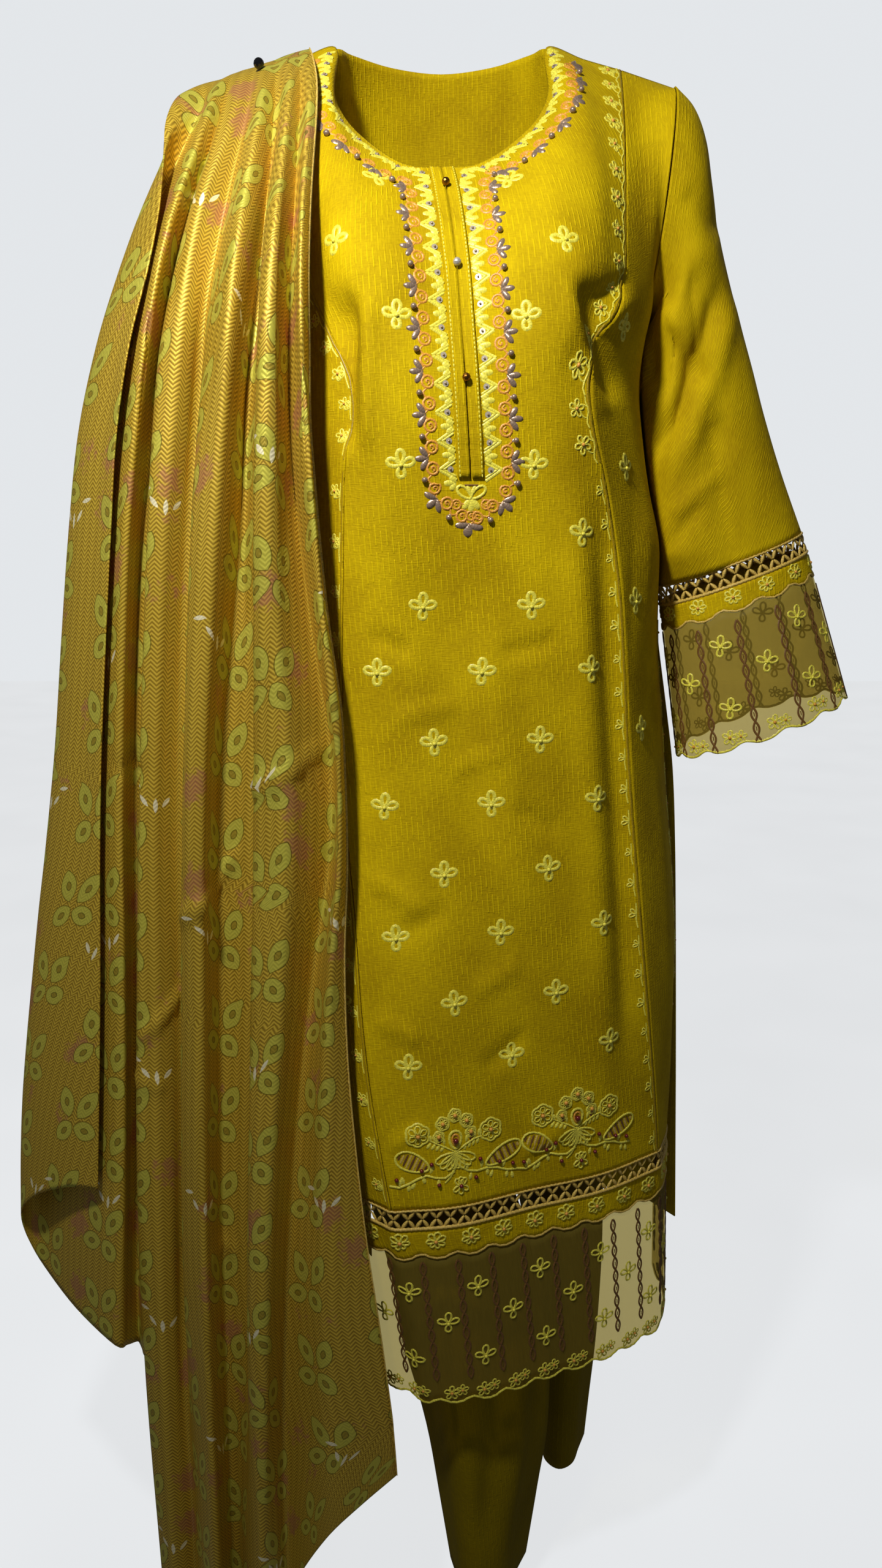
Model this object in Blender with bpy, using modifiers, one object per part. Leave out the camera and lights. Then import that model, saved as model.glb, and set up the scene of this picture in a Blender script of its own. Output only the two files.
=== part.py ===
"""A three-piece salwar kameez suit in its worn form: long kameez, straight trousers, pinned dupatta.

Metres, +Z up. X runs to the wearer's left, -Y is the front. The origin lies between the two
neck points, where the wearer's shoulders hold the suit up. Tables are in millimetres.
"""
import math

import bmesh
import bpy
from mathutils import Vector

MM = 0.001

# ---------------------------------------------------------------- driving dimensions (metres)
KAMEEZ_WALL = 0.0012          # slub cambric with its turned hems
TROUSER_WALL = 0.0012
TRIM_WALL = 0.0012            # cutwork and scalloped bands
SHEER_WALL = 0.0010           # organza
DUPATTA_WALL = 0.0011         # satin
SEAM = 0.0003                 # gap left at every seam
UNDERARM_GAP = 0.0022         # sleeve start clear of the body's own wall
SLIT_HALF = 0.0004            # half of the placket slit

BUST_Z = -0.200               # level of the underarm, where the upper rows begin
SLIT_TOP = -0.430             # side slits open from here down
CUTWORK_TOP = -0.911
CUTWORK_HEIGHT = 0.0165
CUTWORK_PITCH = 0.0115        # one crossed pair of bars
HOLE_WIDTH = 0.0066
HOLE_HEIGHT = 0.0098
BAND_HEIGHT = 0.023           # scalloped band under the cutwork
SHEER_HEIGHT = 0.137          # organza below the band
SCALLOP_PITCH = 0.0285
SCALLOP_DEPTH = 0.0045
BACK_HEM_Z = -1.090
BACK_FOLD = 0.013             # soft folds of the back at its hem

PLACKET_END_Z = -0.345
PLACKET_STRIP = 0.0095        # width of each turned strip beside the slit
STRIP_WALL = 0.0010
BUTTON_RADIUS = 0.0030
BUTTON_LEVELS = (-0.133, -0.193, -0.272)
PIN_RADIUS = 0.0042

CUFF_BAND = 0.018

WAIST_TOP = -0.432            # top of the trouser pieces, where the waistband starts
WAISTBAND_HEIGHT = 0.032
WAIST_GAP = 0.0010            # the seat's wall leans out below the band
CROTCH_Z = -0.700

COLLECTION = "salwar_kameez_suit"

COTTON = ("mustard_cambric", (0.42, 0.30, 0.006), 0.75, 0.0)
COTTON_DARK = ("mustard_cambric_trousers", (0.33, 0.25, 0.008), 0.75, 0.0)
CORD = ("pale_gold_cutwork", (0.62, 0.50, 0.13), 0.6, 0.0)
ORGANZA = ("khaki_organza", (0.36, 0.31, 0.10), 0.5, 0.0)
SATIN = ("antique_gold_satin", (0.40, 0.27, 0.05), 0.4, 0.0)
BEAD = ("antique_bead", (0.20, 0.17, 0.12), 0.3, 0.8)
PIN = ("black_pin_head", (0.01, 0.01, 0.01), 0.2, 0.0)


# ---------------------------------------------------------------- tables and curves
def table(columns, *rows):
    """A short table: one dict for each row, keyed by the column names."""
    names = columns.split()
    return [dict(zip(names, row)) for row in rows]


def smooth(values, place):
    """Catmull-Rom value through evenly numbered values at a fractional place."""
    last = len(values) - 1
    place = min(max(place, 0.0), float(last))
    k = min(int(place), last - 1)
    t = place - k
    b, c = values[k], values[k + 1]
    a = values[k - 1] if k > 0 else b * 2 - c
    d = values[k + 2] if k + 2 <= last else c * 2 - b
    return (b * 2 + (c - a) * t + (a * 2 - b * 5 + c * 4 - d) * (t * t)
            + (b * 3 - a - c * 3 + d) * (t * t * t)) * 0.5


def read(rows, key, z):
    """Value of one column at a height; the rows run downwards and the value eases between them."""
    levels = [row["z"] * MM for row in rows]
    last = len(rows) - 1
    if z >= levels[0]:
        return rows[0][key] * MM
    if z <= levels[last]:
        return rows[last][key] * MM
    k = next(i for i in range(last) if levels[i + 1] <= z)

    def slope(i):
        lo, hi = max(i - 1, 0), min(i + 1, last)
        return (rows[hi][key] - rows[lo][key]) * MM / (levels[hi] - levels[lo])

    span = levels[k + 1] - levels[k]
    t = (z - levels[k]) / span
    t2, t3 = t * t, t * t * t
    start, end = rows[k][key] * MM, rows[k + 1][key] * MM
    return (start * (2 * t3 - 3 * t2 + 1) + slope(k) * span * (t3 - 2 * t2 + t)
            + end * (3 * t2 - 2 * t3) + slope(k + 1) * span * (t3 - t2))


def on_line(line, z):
    """Point of a body line (a table of z, x, y) at a height."""
    return Vector((read(line, "x", z), read(line, "y", z), z))


def across(points, count):
    """Even samples on a curve through a few points of one section, kept tight at close points."""
    last = len(points) - 1
    ways = []
    for i in range(last + 1):
        ways.append((points[min(i + 1, last)] - points[max(i - 1, 0)]).normalized())
    out = []
    for i in range(count + 1):
        k = min(last * i // count, last - 1)
        t = last * i / count - k
        t2, t3 = t * t, t * t * t
        chord = (points[k + 1] - points[k]).length
        out.append(points[k] * (2 * t3 - 3 * t2 + 1) + ways[k] * (chord * (t3 - 2 * t2 + t))
                   + points[k + 1] * (3 * t2 - 2 * t3) + ways[k + 1] * (chord * (t3 - t2)))
    return out


def steps(start, end, count):
    return [start + (end - start) * i / count for i in range(count + 1)]


def bend(start, control, end, count):
    """Quadratic curve from start to end, drawn towards the control point."""
    out = []
    for i in range(count + 1):
        t = i / count
        out.append(start * ((1 - t) * (1 - t)) + control * (2 * t * (1 - t)) + end * (t * t))
    return out


# ---------------------------------------------------------------- the kameez's own lines
# Lines of the kameez from the underarm down. "left" is the wearer's left, +X. The front hangs
# from the bust as a flat panel between two princess folds and swings to the wearer's left,
# because the right leg stands forward.
CENTRE = table("z x y",
               (-200, 12, -153), (-280, 18, -170), (-360, 23, -169), (-423, 28, -167),
               (-600, 42, -174), (-750, 54, -184), (-917, 74, -186), (-1100, 94, -186))
BUST_LEFT = table("z x y",
                  (-200, 92, -160), (-240, 84, -166), (-280, 76, -165), (-360, 84, -161),
                  (-423, 92, -159), (-600, 106, -160), (-750, 118, -164), (-917, 136, -162),
                  (-1100, 150, -160))
BUST_RIGHT = table("z x y",
                   (-200, -56, -166), (-280, -38, -180), (-360, -34, -178), (-423, -34, -175),
                   (-600, -26, -184), (-750, -10, -201), (-917, 14, -211), (-1100, 40, -210))
PRINCESS_LEFT = table("z x y",
                      (-200, 137, -114), (-240, 119, -140), (-280, 106, -154), (-310, 115, -149),
                      (-360, 128, -139), (-423, 140, -137), (-579, 154, -136), (-748, 172, -136),
                      (-917, 190, -126), (-1100, 198, -124))
PRINCESS_RIGHT = table("z x y",
                       (-200, -97, -126), (-240, -80, -151), (-280, -68, -172), (-360, -71, -170),
                       (-569, -75, -176), (-657, -68, -187), (-788, -58, -207), (-925, -37, -218),
                       (-1100, -6, -217))
SIDE_LEFT = table("z x y",
                  (-212, 166, -6), (-265, 168, 0), (-323, 174, 0), (-366, 179, 0),
                  (-427, 186, -2), (-530, 196, -14), (-603, 200, -31), (-675, 206, -45),
                  (-722, 210, -50), (-805, 210, -50), (-879, 206, -46), (-917, 203, -40),
                  (-1100, 208, -34))
SIDE_RIGHT = table("z x y",
                   (-212, -166, -6), (-265, -170, 2), (-323, -175, 2), (-366, -180, 2),
                   (-427, -186, 0), (-530, -190, -20), (-603, -186, -45), (-700, -176, -75),
                   (-805, -163, -95), (-917, -148, -108), (-1100, -132, -112))
BACK_EDGE_LEFT = table("z x y",
                       (-430, 186, 4), (-530, 208, 30), (-622, 224, 48), (-825, 236, 52),
                       (-1100, 247, 50))
BACK_EDGE_RIGHT = table("z x y",
                        (-430, -186, 6), (-530, -204, 26), (-622, -218, 42), (-825, -230, 48),
                        (-1100, -240, 46))
BACK_LEFT = table("z x y",
                  (-212, 98, 84), (-300, 102, 70), (-380, 106, 64), (-450, 112, 76),
                  (-600, 128, 102), (-850, 146, 112), (-1100, 158, 114))
BACK_CENTRE = table("z x y",
                    (-212, 3, 100), (-300, 5, 86), (-380, 8, 77), (-450, 10, 88),
                    (-600, 16, 110), (-850, 22, 124), (-1100, 27, 132))
BACK_RIGHT = table("z x y",
                   (-212, -92, 84), (-300, -94, 70), (-380, -96, 64), (-450, -98, 76),
                   (-600, -106, 102), (-850, -116, 114), (-1100, -122, 118))

# Cut edge of the front's left half at the top: neckline from its lowest point up to the neck
# point, then the shoulder seam as far as the princess seam. The right half mirrors it.
FRONT_TOP = table("x y z",
                  (0, -90, -113), (27, -86, -110), (52, -71, -93), (74, -55, -70),
                  (85, -36, -43), (85, 0, -1), (115, 2, -9), (146, 2, -17))
SHOULDER_MID = table("x y z", (146, 2, -17), (166.5, -1, -24.5), (187, -4, -32))
BACK_TOP = table("x y z",
                 (187, -4, -32), (166.5, -1, -24.5), (146, 2, -17), (115, 2, -9), (85, 0.3, -1),
                 (74, 31, 5), (42, 54, 3), (0, 63, 1))

# Sleeve rings: outer and inner point of each ring in the X-Z plane, the ring's middle and half
# depth along Y. The first row is the armhole, shared with the body.
SLEEVE_LEFT = table("outer_x outer_z inner_x inner_z middle_y depth",
                    (187, -32, 166, -212, -4, 55), (208, -56, 176, -216, -4, 54),
                    (218, -98, 180, -226, -5, 52), (229, -152, 177, -250, -8, 49),
                    (246, -206, 177, -285, -10, 47), (262, -254, 179, -322, -12, 46),
                    (281, -312, 184, -366, -14, 45), (310, -383, 191, -428, -16, 45))
SLEEVE_RIGHT = table("outer_x outer_z inner_x inner_z middle_y depth",
                     (187, -32, 166, -212, -4, 55), (196, -58, 175, -216, -2, 50),
                     (205, -98, 182, -228, 2, 46), (214, -150, 185, -255, 4, 44),
                     (226, -205, 188, -292, 6, 44), (237, -256, 191, -326, 7, 44),
                     (249, -316, 196, -368, 8, 44), (266, -392, 204, -428, 8, 44))
# Where the cuff ends, in the same columns.
CUFF_LEFT = table("outer_x outer_z inner_x inner_z middle_y depth",
                  (310, -383, 191, -428, -16, 45), (356, -520, 213, -575, -22, 52))
CUFF_RIGHT = table("outer_x outer_z inner_x inner_z middle_y depth",
                   (266, -392, 204, -428, 8, 44), (290, -528, 214, -575, 6, 46))

# Trousers: seam, front crease and back crease lines of each leg.
OUTER_SEAM_LEFT = table("z x y",
                        (-432, 158, -6), (-560, 168, 0), (-700, 170, 2), (-900, 160, -2),
                        (-1128, 160, -12), (-1300, 148, -16))
INNER_SEAM_LEFT = table("z x y",
                        (-700, 8, 4), (-800, 38, 4), (-960, 72, 2), (-1128, 92, -4),
                        (-1300, 100, -10))
CREASE_LEFT = table("z x y",
                    (-432, 78, -88), (-560, 84, -98), (-700, 88, -94), (-900, 104, -78),
                    (-1128, 118, -66), (-1300, 118, -62))
BACK_CREASE_LEFT = table("z x y",
                         (-432, 80, 61), (-560, 88, 96), (-700, 92, 90), (-900, 110, 72),
                         (-1128, 130, 54), (-1300, 128, 44))
OUTER_SEAM_RIGHT = table("z x y",
                         (-432, -152, -6), (-560, -158, -10), (-700, -148, -24),
                         (-900, -88, -74), (-1119, -24, -130), (-1330, 10, -136))
INNER_SEAM_RIGHT = table("z x y",
                         (-700, -4, 0), (-800, 20, -34), (-960, 60, -88), (-1119, 101, -124),
                         (-1200, 96, -128), (-1330, 80, -130))
CREASE_RIGHT = table("z x y",
                     (-432, -70, -90), (-560, -74, -108), (-700, -68, -118),
                     (-900, -30, -150), (-1119, 20, -182), (-1330, 36, -190))
BACK_CREASE_RIGHT = table("z x y",
                          (-432, -72, 60), (-560, -80, 88), (-700, -76, 72),
                          (-900, -20, 0), (-1119, 34, -62), (-1330, 48, -66))
CENTRE_SEAM = table("z front back", (-432, -92, 66), (-500, -99, 88), (-560, -98, 94),
                    (-630, -76, 84), (-680, -36, 48), (-700, 0, 4))
LEG_HEM_LEFT = -1.300
LEG_HEM_RIGHT = -1.330

# Dupatta, front fall. Depth of the cloth below its own shoulder line, at the inner and at the
# outer edge of the fall.
FALL_DEPTH = table("z inner outer",
                   (0, 2, 2), (-12, -30, -28), (-42, -68, -58), (-110, -124, -82),
                   (-190, -172, -94), (-300, -187, -100), (-450, -196, -106), (-600, -206, -112),
                   (-800, -218, -118), (-1000, -228, -124), (-1340, -232, -126))
# Fold lines from the inner edge to the free edge that closes over the outermost pleat: share of
# the way to the outer depth, how far the line stands in front (-) or behind (+), shoulder and hem.
FOLDS = table("name share stand top_x top_z hem",
              ("inner_edge", 0.00, 2, -106, -2, -1150),
              ("narrow_ridge", 0.04, -12, -111, -3, -1194),
              ("deep_gap", 0.08, 16, -116, -4, -1296),
              ("broad_ridge", 0.15, -22, -122, -6, -1326),
              ("flat_inner", 0.25, 14, -129, -8, -1334),
              ("flat_outer", 0.30, 16, -134, -10, -1336),
              ("fourth_ridge", 0.36, -22, -140, -12, -1338),
              ("fourth_gap", 0.43, 18, -146, -14, -1336),
              ("third_panel", 0.52, 0, -152, -16, -1334),
              ("third_edge", 0.58, 6, -156, -17, -1330),
              ("second_gap", 0.62, 20, -159, -18, -1088),
              ("second_ridge", 0.68, -14, -163, -20, -1070),
              ("behind", 0.90, 30, -171, -23, -1040),
              ("outer_fold", 1.00, 2, -178, -25, -972),
              ("first_ridge", 0.88, -19, -184, -27, -930),
              ("free_edge", 0.74, -21, -190, -30, -922))
FALL_X = table("z inner_edge narrow_ridge deep_gap broad_ridge flat_inner flat_outer fourth_ridge "
               "fourth_gap third_panel third_edge second_gap second_ridge behind outer_fold "
               "first_ridge free_edge",
               (-70, -93, -98, -106, -113, -121, -127, -135, -146, -157, -164, -169, -177, -188,
                -197, -204, -210),
               (-165, -94, -98, -107, -116, -128, -132, -145, -164, -182, -192, -198, -204, -231,
                -240, -222, -212),
               (-280, -93, -97, -111, -121, -139, -146, -156, -182, -197, -214, -220, -226, -268,
                -279, -250, -239),
               (-390, -85, -90, -104, -123, -145, -154, -168, -195, -210, -230, -236, -241, -287,
                -298, -268, -252),
               (-575, -72, -75, -84, -116, -151, -175, -184, -208, -225, -244, -250, -255, -309,
                -321, -287, -269),
               (-740, -75, -87, -104, -125, -158, -180, -189, -214, -230, -250, -257, -262, -334,
                -348, -307, -278),
               (-895, -64, -92, -120, -137, -163, -184, -193, -218, -236, -256, -265, -270, -354,
                -369, -322, -288),
               (-1100, -40, -90, -133, -147, -170, -187, -195, -221, -240, -260, -271, -284, -366,
                -380, -330, -302),
               (-1340, -30, -84, -134, -154, -178, -190, -196, -224, -240, -256, -272, -290, -372,
                -386, -338, -310))
# Back fall: the same cloth behind the shoulder, in even pleats.
BACK_FALL = table("z inner_x outer_x depth",
                  (0, -106, -190, 2), (-14, -104, -192, 30), (-44, -100, -198, 66),
                  (-110, -98, -206, 98), (-200, -96, -222, 118), (-300, -92, -238, 112),
                  (-400, -90, -252, 108), (-600, -88, -270, 142), (-900, -84, -290, 158),
                  (-1220, -82, -300, 164))
BACK_PLEATS = 6
BACK_PLEAT_DEPTH = 0.013
BACK_FALL_HEM = (-1.215, -1.130)       # at the inner and at the outer edge
BACK_SWING = 0.028                     # the outer edge hangs this much nearer the arm
SHOULDER_TOP = -0.002                  # height of the shoulder line at the inner edge
SHOULDER_FALL = 0.028                  # slope of the shoulder across the pleats
BACK_FALL_LEVELS = (0.0, -0.007, -0.020, -0.044, -0.080, -0.130, -0.200, -0.290, -0.400, -0.520,
                    -0.650, -0.790, -0.930, -1.070, -1.215)
FALL_DROPS = (0.0, 0.008, 0.022, 0.045, 0.075, 0.115, 0.160, 0.215, 0.280, 0.355, 0.440, 0.530,
              0.620, 0.710, 0.800, 0.890, 0.975, 1.060, 1.150)
LEVEL_DROP = 0.600                     # rows stay level down to here
LAST_LONG_FOLD = "third_edge"          # the fold lines up to this one reach the long hem
KNEE_Z = -1.088                        # where the shorter pleats have ended
PIN_DROP = 0.016
PIN_PLACE = 0.56                       # share of the way from the free edge to the inner edge


# ---------------------------------------------------------------- making solids
def material_of(spec):
    name, colour, roughness, metallic = spec
    material = bpy.data.materials.get(name) or bpy.data.materials.new(name)
    material.use_nodes = True
    shader = material.node_tree.nodes["Principled BSDF"]
    shader.inputs["Base Color"].default_value = (*colour, 1.0)
    shader.inputs["Roughness"].default_value = roughness
    shader.inputs["Metallic"].default_value = metallic
    return material


def add_object(name, bm, spec):
    """Store a bmesh as a named object of the suit's collection."""
    mesh = bpy.data.meshes.new(name)
    bm.to_mesh(mesh)
    bm.free()
    mesh.shade_smooth()
    mesh.materials.append(material_of(spec))
    obj = bpy.data.objects.new(name, mesh)
    bpy.data.collections[COLLECTION].objects.link(obj)
    return obj


def loft(bm, rows, closed=False):
    """Faces between rows of points that run left to right, seen from outside, and downwards.

    Every square is halved along its shorter diagonal, so both skins of the wall bend as one.
    """
    grid = [[bm.verts.new(point) for point in row] for row in rows]
    width = len(rows[0])
    for upper, lower in zip(grid, grid[1:]):
        for i in range(width if closed else width - 1):
            j = (i + 1) % width
            a, b, c, d = upper[i], lower[i], lower[j], upper[j]
            if (a.co - c.co).length > (b.co - d.co).length:
                a, b, c, d = b, c, d, a
            bm.faces.new((a, b, c))
            bm.faces.new((a, c, d))


def cloth(name, patches, wall, spec, closed=False):
    """An open surface made of one or more lofted patches, with its wall built outwards."""
    bm = bmesh.new()
    for rows in patches:
        loft(bm, rows, closed)
    bmesh.ops.remove_doubles(bm, verts=bm.verts, dist=1e-6)
    obj = add_object(name, bm, spec)
    solidify = obj.modifiers.new("wall", "SOLIDIFY")
    solidify.thickness = wall
    solidify.offset = 1.0
    solidify.use_even_offset = False
    return obj


def pull_in(row, first, last):
    """Shorten a row at its ends, towards the neighbouring points, to leave the seam's gap."""
    row = list(row)
    if first:
        row[0] = row[0] + (row[1] - row[0]).normalized() * first
    if last:
        row[-1] = row[-1] + (row[-2] - row[-1]).normalized() * last
    return row


def lower_start(rows, gap):
    """Move the first row a little towards the second, to leave a seam's gap above it."""
    start = [a + (b - a).normalized() * gap for a, b in zip(rows[0], rows[1])]
    return [start] + list(rows[1:])


def ball(name, centre, radius, spec, segments=12, rings=8):
    bm = bmesh.new()
    bmesh.ops.create_uvsphere(bm, u_segments=segments, v_segments=rings, radius=radius)
    bmesh.ops.translate(bm, verts=bm.verts, vec=centre)
    return add_object(name, bm, spec)


# ---------------------------------------------------------------- sleeves and armholes
def ring_point(row, angle, side):
    """Point of a sleeve ring; angle 0 is its outer or top point and runs forwards to pi."""
    outer = Vector((side * row["outer_x"], 0.0, row["outer_z"]))
    inner = Vector((side * row["inner_x"], 0.0, row["inner_z"]))
    point = (outer + inner) / 2 + (outer - inner) / 2 * math.cos(angle)
    point.y = row["middle_y"] - row["depth"] * math.sin(angle)
    return point * MM


def ring_angles(count, side):
    """Angles all round, in the order that reads left to right from outside."""
    return [-side * 2 * math.pi * i / count for i in range(count)]


def between_rings(rows, place):
    """A ring row at a fractional place of a ring table."""
    return {key: smooth([row[key] for row in rows], place) for key in rows[0]}


def armhole(side, angle):
    return ring_point(SLEEVE_LEFT[0], angle, side)


def sleeve_rows(rings, side, around):
    rows = []
    for row in rings:
        rows.append([ring_point(row, angle, side) for angle in ring_angles(around, side)])
    start = []
    for i, angle in enumerate(ring_angles(around, side)):
        low = (1 - math.cos(angle)) / 2
        gap = SEAM + (UNDERARM_GAP - SEAM) * low
        start.append(rows[0][i] + (rows[1][i] - rows[0][i]).normalized() * gap)
    rows[0] = start
    return rows


# ---------------------------------------------------------------- the kameez's surface
UPPER_ROWS = 6
NECK_SPREAD = {5: 0.020, 6: 0.012}     # columns beside the neck point stay outside the neckline
BACK_COLUMNS = 14
SEWN_LEVELS = (-0.235, -0.268, -0.304, PLACKET_END_Z, -0.386, SLIT_TOP)     # side seam closed
FRONT_LEVELS = (-0.480, -0.540, -0.605, -0.675, -0.745, -0.805, -0.860, CUTWORK_TOP + SEAM)
BACK_LEVELS = (-0.480, -0.540, -0.605, -0.680, -0.760, -0.840, -0.925, -1.010, BACK_HEM_Z)


def mirrored(point, side):
    return Vector((side * point.x, point.y, point.z))


def top_point(rows, place):
    point = Vector([smooth([row[axis] for row in rows], place) for axis in "xyz"])
    return point * MM


def rise(base, top, count, spread=0.0):
    """Upper rows: from a top edge point down to the underarm level, full over the chest."""
    control = Vector((base.x * 0.55 + top.x * 0.45 + spread, base.y * 0.74 + top.y * 0.26,
                      base.z * 0.38 + top.z * 0.62))
    return bend(top, control, base, count)[:-1]


def centre_section(z):
    """The flat front panel at a height, between its princess seams."""
    lines = (PRINCESS_RIGHT, BUST_RIGHT, CENTRE, BUST_LEFT, PRINCESS_LEFT)
    return across([on_line(line, z) for line in lines], 14)


def centre_columns():
    """Upper rows of the front panel, one list for each column."""
    base = centre_section(BUST_Z)
    columns = []
    for i, point in enumerate(base):
        place = abs(i - 7)
        side = -1 if i < 7 else 1
        top = mirrored(top_point(FRONT_TOP, place), side)
        columns.append(rise(point, top, UPPER_ROWS, side * NECK_SPREAD.get(place, 0.0)))
    return columns


def centre_rows(levels):
    """All rows of the front panel, split at the placket slit."""
    upper = [list(row) for row in zip(*centre_columns())]
    rows = upper + [centre_section(z) for z in (BUST_Z, *levels)]
    rows = lower_start(rows, SEAM)
    return [pull_in(row, SEAM / 2, SEAM / 2) for row in rows]


def side_section(princess, side_line, z, count=4):
    """A side panel from its princess seam round to the side seam, slightly full."""
    seam, edge = on_line(princess, z), on_line(side_line, min(z, side_line[0]["z"] * MM))
    edge.z = z if z < side_line[0]["z"] * MM else edge.z
    middle = (seam + edge) / 2
    outward = Vector((edge.y - seam.y, seam.x - edge.x, 0.0)).normalized()
    if outward.dot(middle) < 0:
        outward = -outward
    fullness = 0.015 if z > SLIT_TOP else 0.008
    return across([seam, middle + outward * fullness, edge], count)


def side_rows(princess, side_line, side, levels):
    """Rows of a side front: shoulder, armhole edge, side seam and slit edge."""
    count = 4
    base = side_section(princess, side_line, BUST_Z, count)
    base[-1] = armhole(side, math.pi * 0.999)
    columns = []
    for i in range(count + 1):
        top = mirrored(top_point(SHOULDER_MID, 2 * i / count), side)
        columns.append(rise(base[i], top, UPPER_ROWS))
    angles = steps(0.0, math.pi, UPPER_ROWS)
    columns[-1] = [armhole(side, angle) for angle in angles[:-1]]
    for k in range(1, UPPER_ROWS):
        edge = columns[-1][k]
        old = rise(base[-1], mirrored(top_point(SHOULDER_MID, 2), side), UPPER_ROWS)[k]
        for i in range(1, count):
            columns[i][k] = columns[i][k] + (edge - old) * (i / count) ** 1.5
    rows = [list(row) for row in zip(*columns)] + [base]
    rows += [side_section(princess, side_line, z, count) for z in levels]
    rows = [pull_in(row, SEAM / 2, SEAM / 2) for row in lower_start(rows, SEAM)]
    return rows if side > 0 else [list(reversed(row)) for row in rows]


def back_section(z):
    left, right = BACK_EDGE_LEFT, BACK_EDGE_RIGHT
    if z > SLIT_TOP:
        left, right = SIDE_LEFT, SIDE_RIGHT
    lines = (left, BACK_LEFT, BACK_CENTRE, BACK_RIGHT, right)
    section = across([on_line(line, z) for line in lines], BACK_COLUMNS)
    fall = max(0.0, (-0.45 - z) / 0.65)
    for i in range(1, BACK_COLUMNS):
        section[i].y += BACK_FOLD * fall * math.sin(math.pi * 4.0 * i / BACK_COLUMNS + 0.4)
    return section


def back_rows(levels):
    """The back in one piece, from the shoulders and armholes to its hem."""
    base = [on_line(line, -0.212) for line in
            (SIDE_LEFT, BACK_LEFT, BACK_CENTRE, BACK_RIGHT, SIDE_RIGHT)]
    base = across(base, BACK_COLUMNS)
    base[0] = armhole(1, -math.pi * 0.999)
    base[-1] = armhole(-1, -math.pi * 0.999)
    columns = []
    for i, point in enumerate(base):
        place = min(i, BACK_COLUMNS - i)
        side = 1 if i < BACK_COLUMNS // 2 else -1
        top = mirrored(top_point(BACK_TOP, place), side)
        if place == 0:
            column = [armhole(side, -angle) for angle in steps(0.0, math.pi, UPPER_ROWS)[:-1]]
        else:
            control = Vector((point.x * 0.6 + top.x * 0.4, point.y * 0.72 + top.y * 0.28 + 0.010,
                              point.z * 0.42 + top.z * 0.58))
            column = bend(top, control, point, UPPER_ROWS)[:-1]
        columns.append(column)
    for k in range(1, UPPER_ROWS):
        for i, j in ((1, 0), (BACK_COLUMNS - 1, BACK_COLUMNS)):
            columns[i][k].y += (columns[j][k].y - columns[i][k].y) * 0.25
    rows = [list(row) for row in zip(*columns)] + [base]
    rows += [back_section(z) for z in levels]
    return [pull_in(row, SEAM / 2, SEAM / 2) for row in lower_start(rows, SEAM)]


def split_at_slit(rows):
    """Two patches of the front panel: open along the placket slit, joined below it."""
    middle = len(rows[0]) // 2
    left, right = [], []
    for row in rows:
        centre = row[middle]
        open_here = centre.z > PLACKET_END_Z + SEAM
        shift = Vector((SLIT_HALF if open_here else 0.0, 0.0, 0.0))
        left.append(row[:middle] + [centre - shift])
        right.append([centre + shift] + row[middle + 1:])
    return [left, right]


def make_kameez_body():
    levels = SEWN_LEVELS + FRONT_LEVELS
    cloth("kameez_centre_front", split_at_slit(centre_rows(levels)), KAMEEZ_WALL, COTTON)
    cloth("kameez_side_front_left", [side_rows(PRINCESS_LEFT, SIDE_LEFT, 1, levels)],
          KAMEEZ_WALL, COTTON)
    cloth("kameez_side_front_right", [side_rows(PRINCESS_RIGHT, SIDE_RIGHT, -1, levels)],
          KAMEEZ_WALL, COTTON)
    cloth("kameez_back", [back_rows(SEWN_LEVELS + BACK_LEVELS)], KAMEEZ_WALL, COTTON)


# ---------------------------------------------------------------- placket, buttons and pin
def slit_frames():
    """Points down the slit, each with the ways along the panel to either side and outwards."""
    rows = centre_rows(SEWN_LEVELS)
    middle = len(rows[0]) // 2
    frames = []
    for k, row in enumerate(rows):
        above, below = rows[max(k - 1, 0)][middle], rows[min(k + 1, len(rows) - 1)][middle]
        down = (below - above).normalized()
        right = (row[middle - 1] - row[middle]).normalized()
        left = (row[middle + 1] - row[middle]).normalized()
        outward = down.cross(left - right).normalized()
        frames.append((row[middle], right, left, outward, down))
        if row[middle].z <= PLACKET_END_Z + SEAM:
            break
    return frames


def strip_rows(side):
    """Rows of one turned strip, taken from the panel's points and moved out."""
    lift = KAMEEZ_WALL + 2 * SEAM
    rows = []
    frames = slit_frames()
    for k, (point, right, left, outward, down) in enumerate(frames):
        towards = left if side > 0 else right
        if k == 0:
            point = point + down * 0.003
        elif k == len(frames) - 1:
            point = point - down * 0.004
        facing = down.cross(towards).normalized() * side
        row = [point + towards * reach + facing * lift
               for reach in (SLIT_HALF * 2, PLACKET_STRIP / 2, PLACKET_STRIP)]
        rows.append(row if side > 0 else list(reversed(row)))
    return rows


def on_slit(z):
    """Point of the slit at a height and the way out from it."""
    frames = slit_frames()
    k = next(i for i in range(len(frames) - 1) if frames[i + 1][0].z <= z)
    t = (frames[k][0].z - z) / (frames[k][0].z - frames[k + 1][0].z)
    return frames[k][0].lerp(frames[k + 1][0], t), frames[k][3].lerp(frames[k + 1][3], t)


def make_placket():
    for side, word in ((1, "left"), (-1, "right")):
        cloth(f"placket_strip_{word}", [strip_rows(side)], STRIP_WALL, COTTON)
    for number, z in enumerate(BUTTON_LEVELS, start=1):
        point, outward = on_slit(z)
        stand = KAMEEZ_WALL + 2 * SEAM + STRIP_WALL + SEAM + BUTTON_RADIUS
        ball(f"placket_button_{number}", point + outward.normalized() * stand, BUTTON_RADIUS,
             BEAD)


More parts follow.
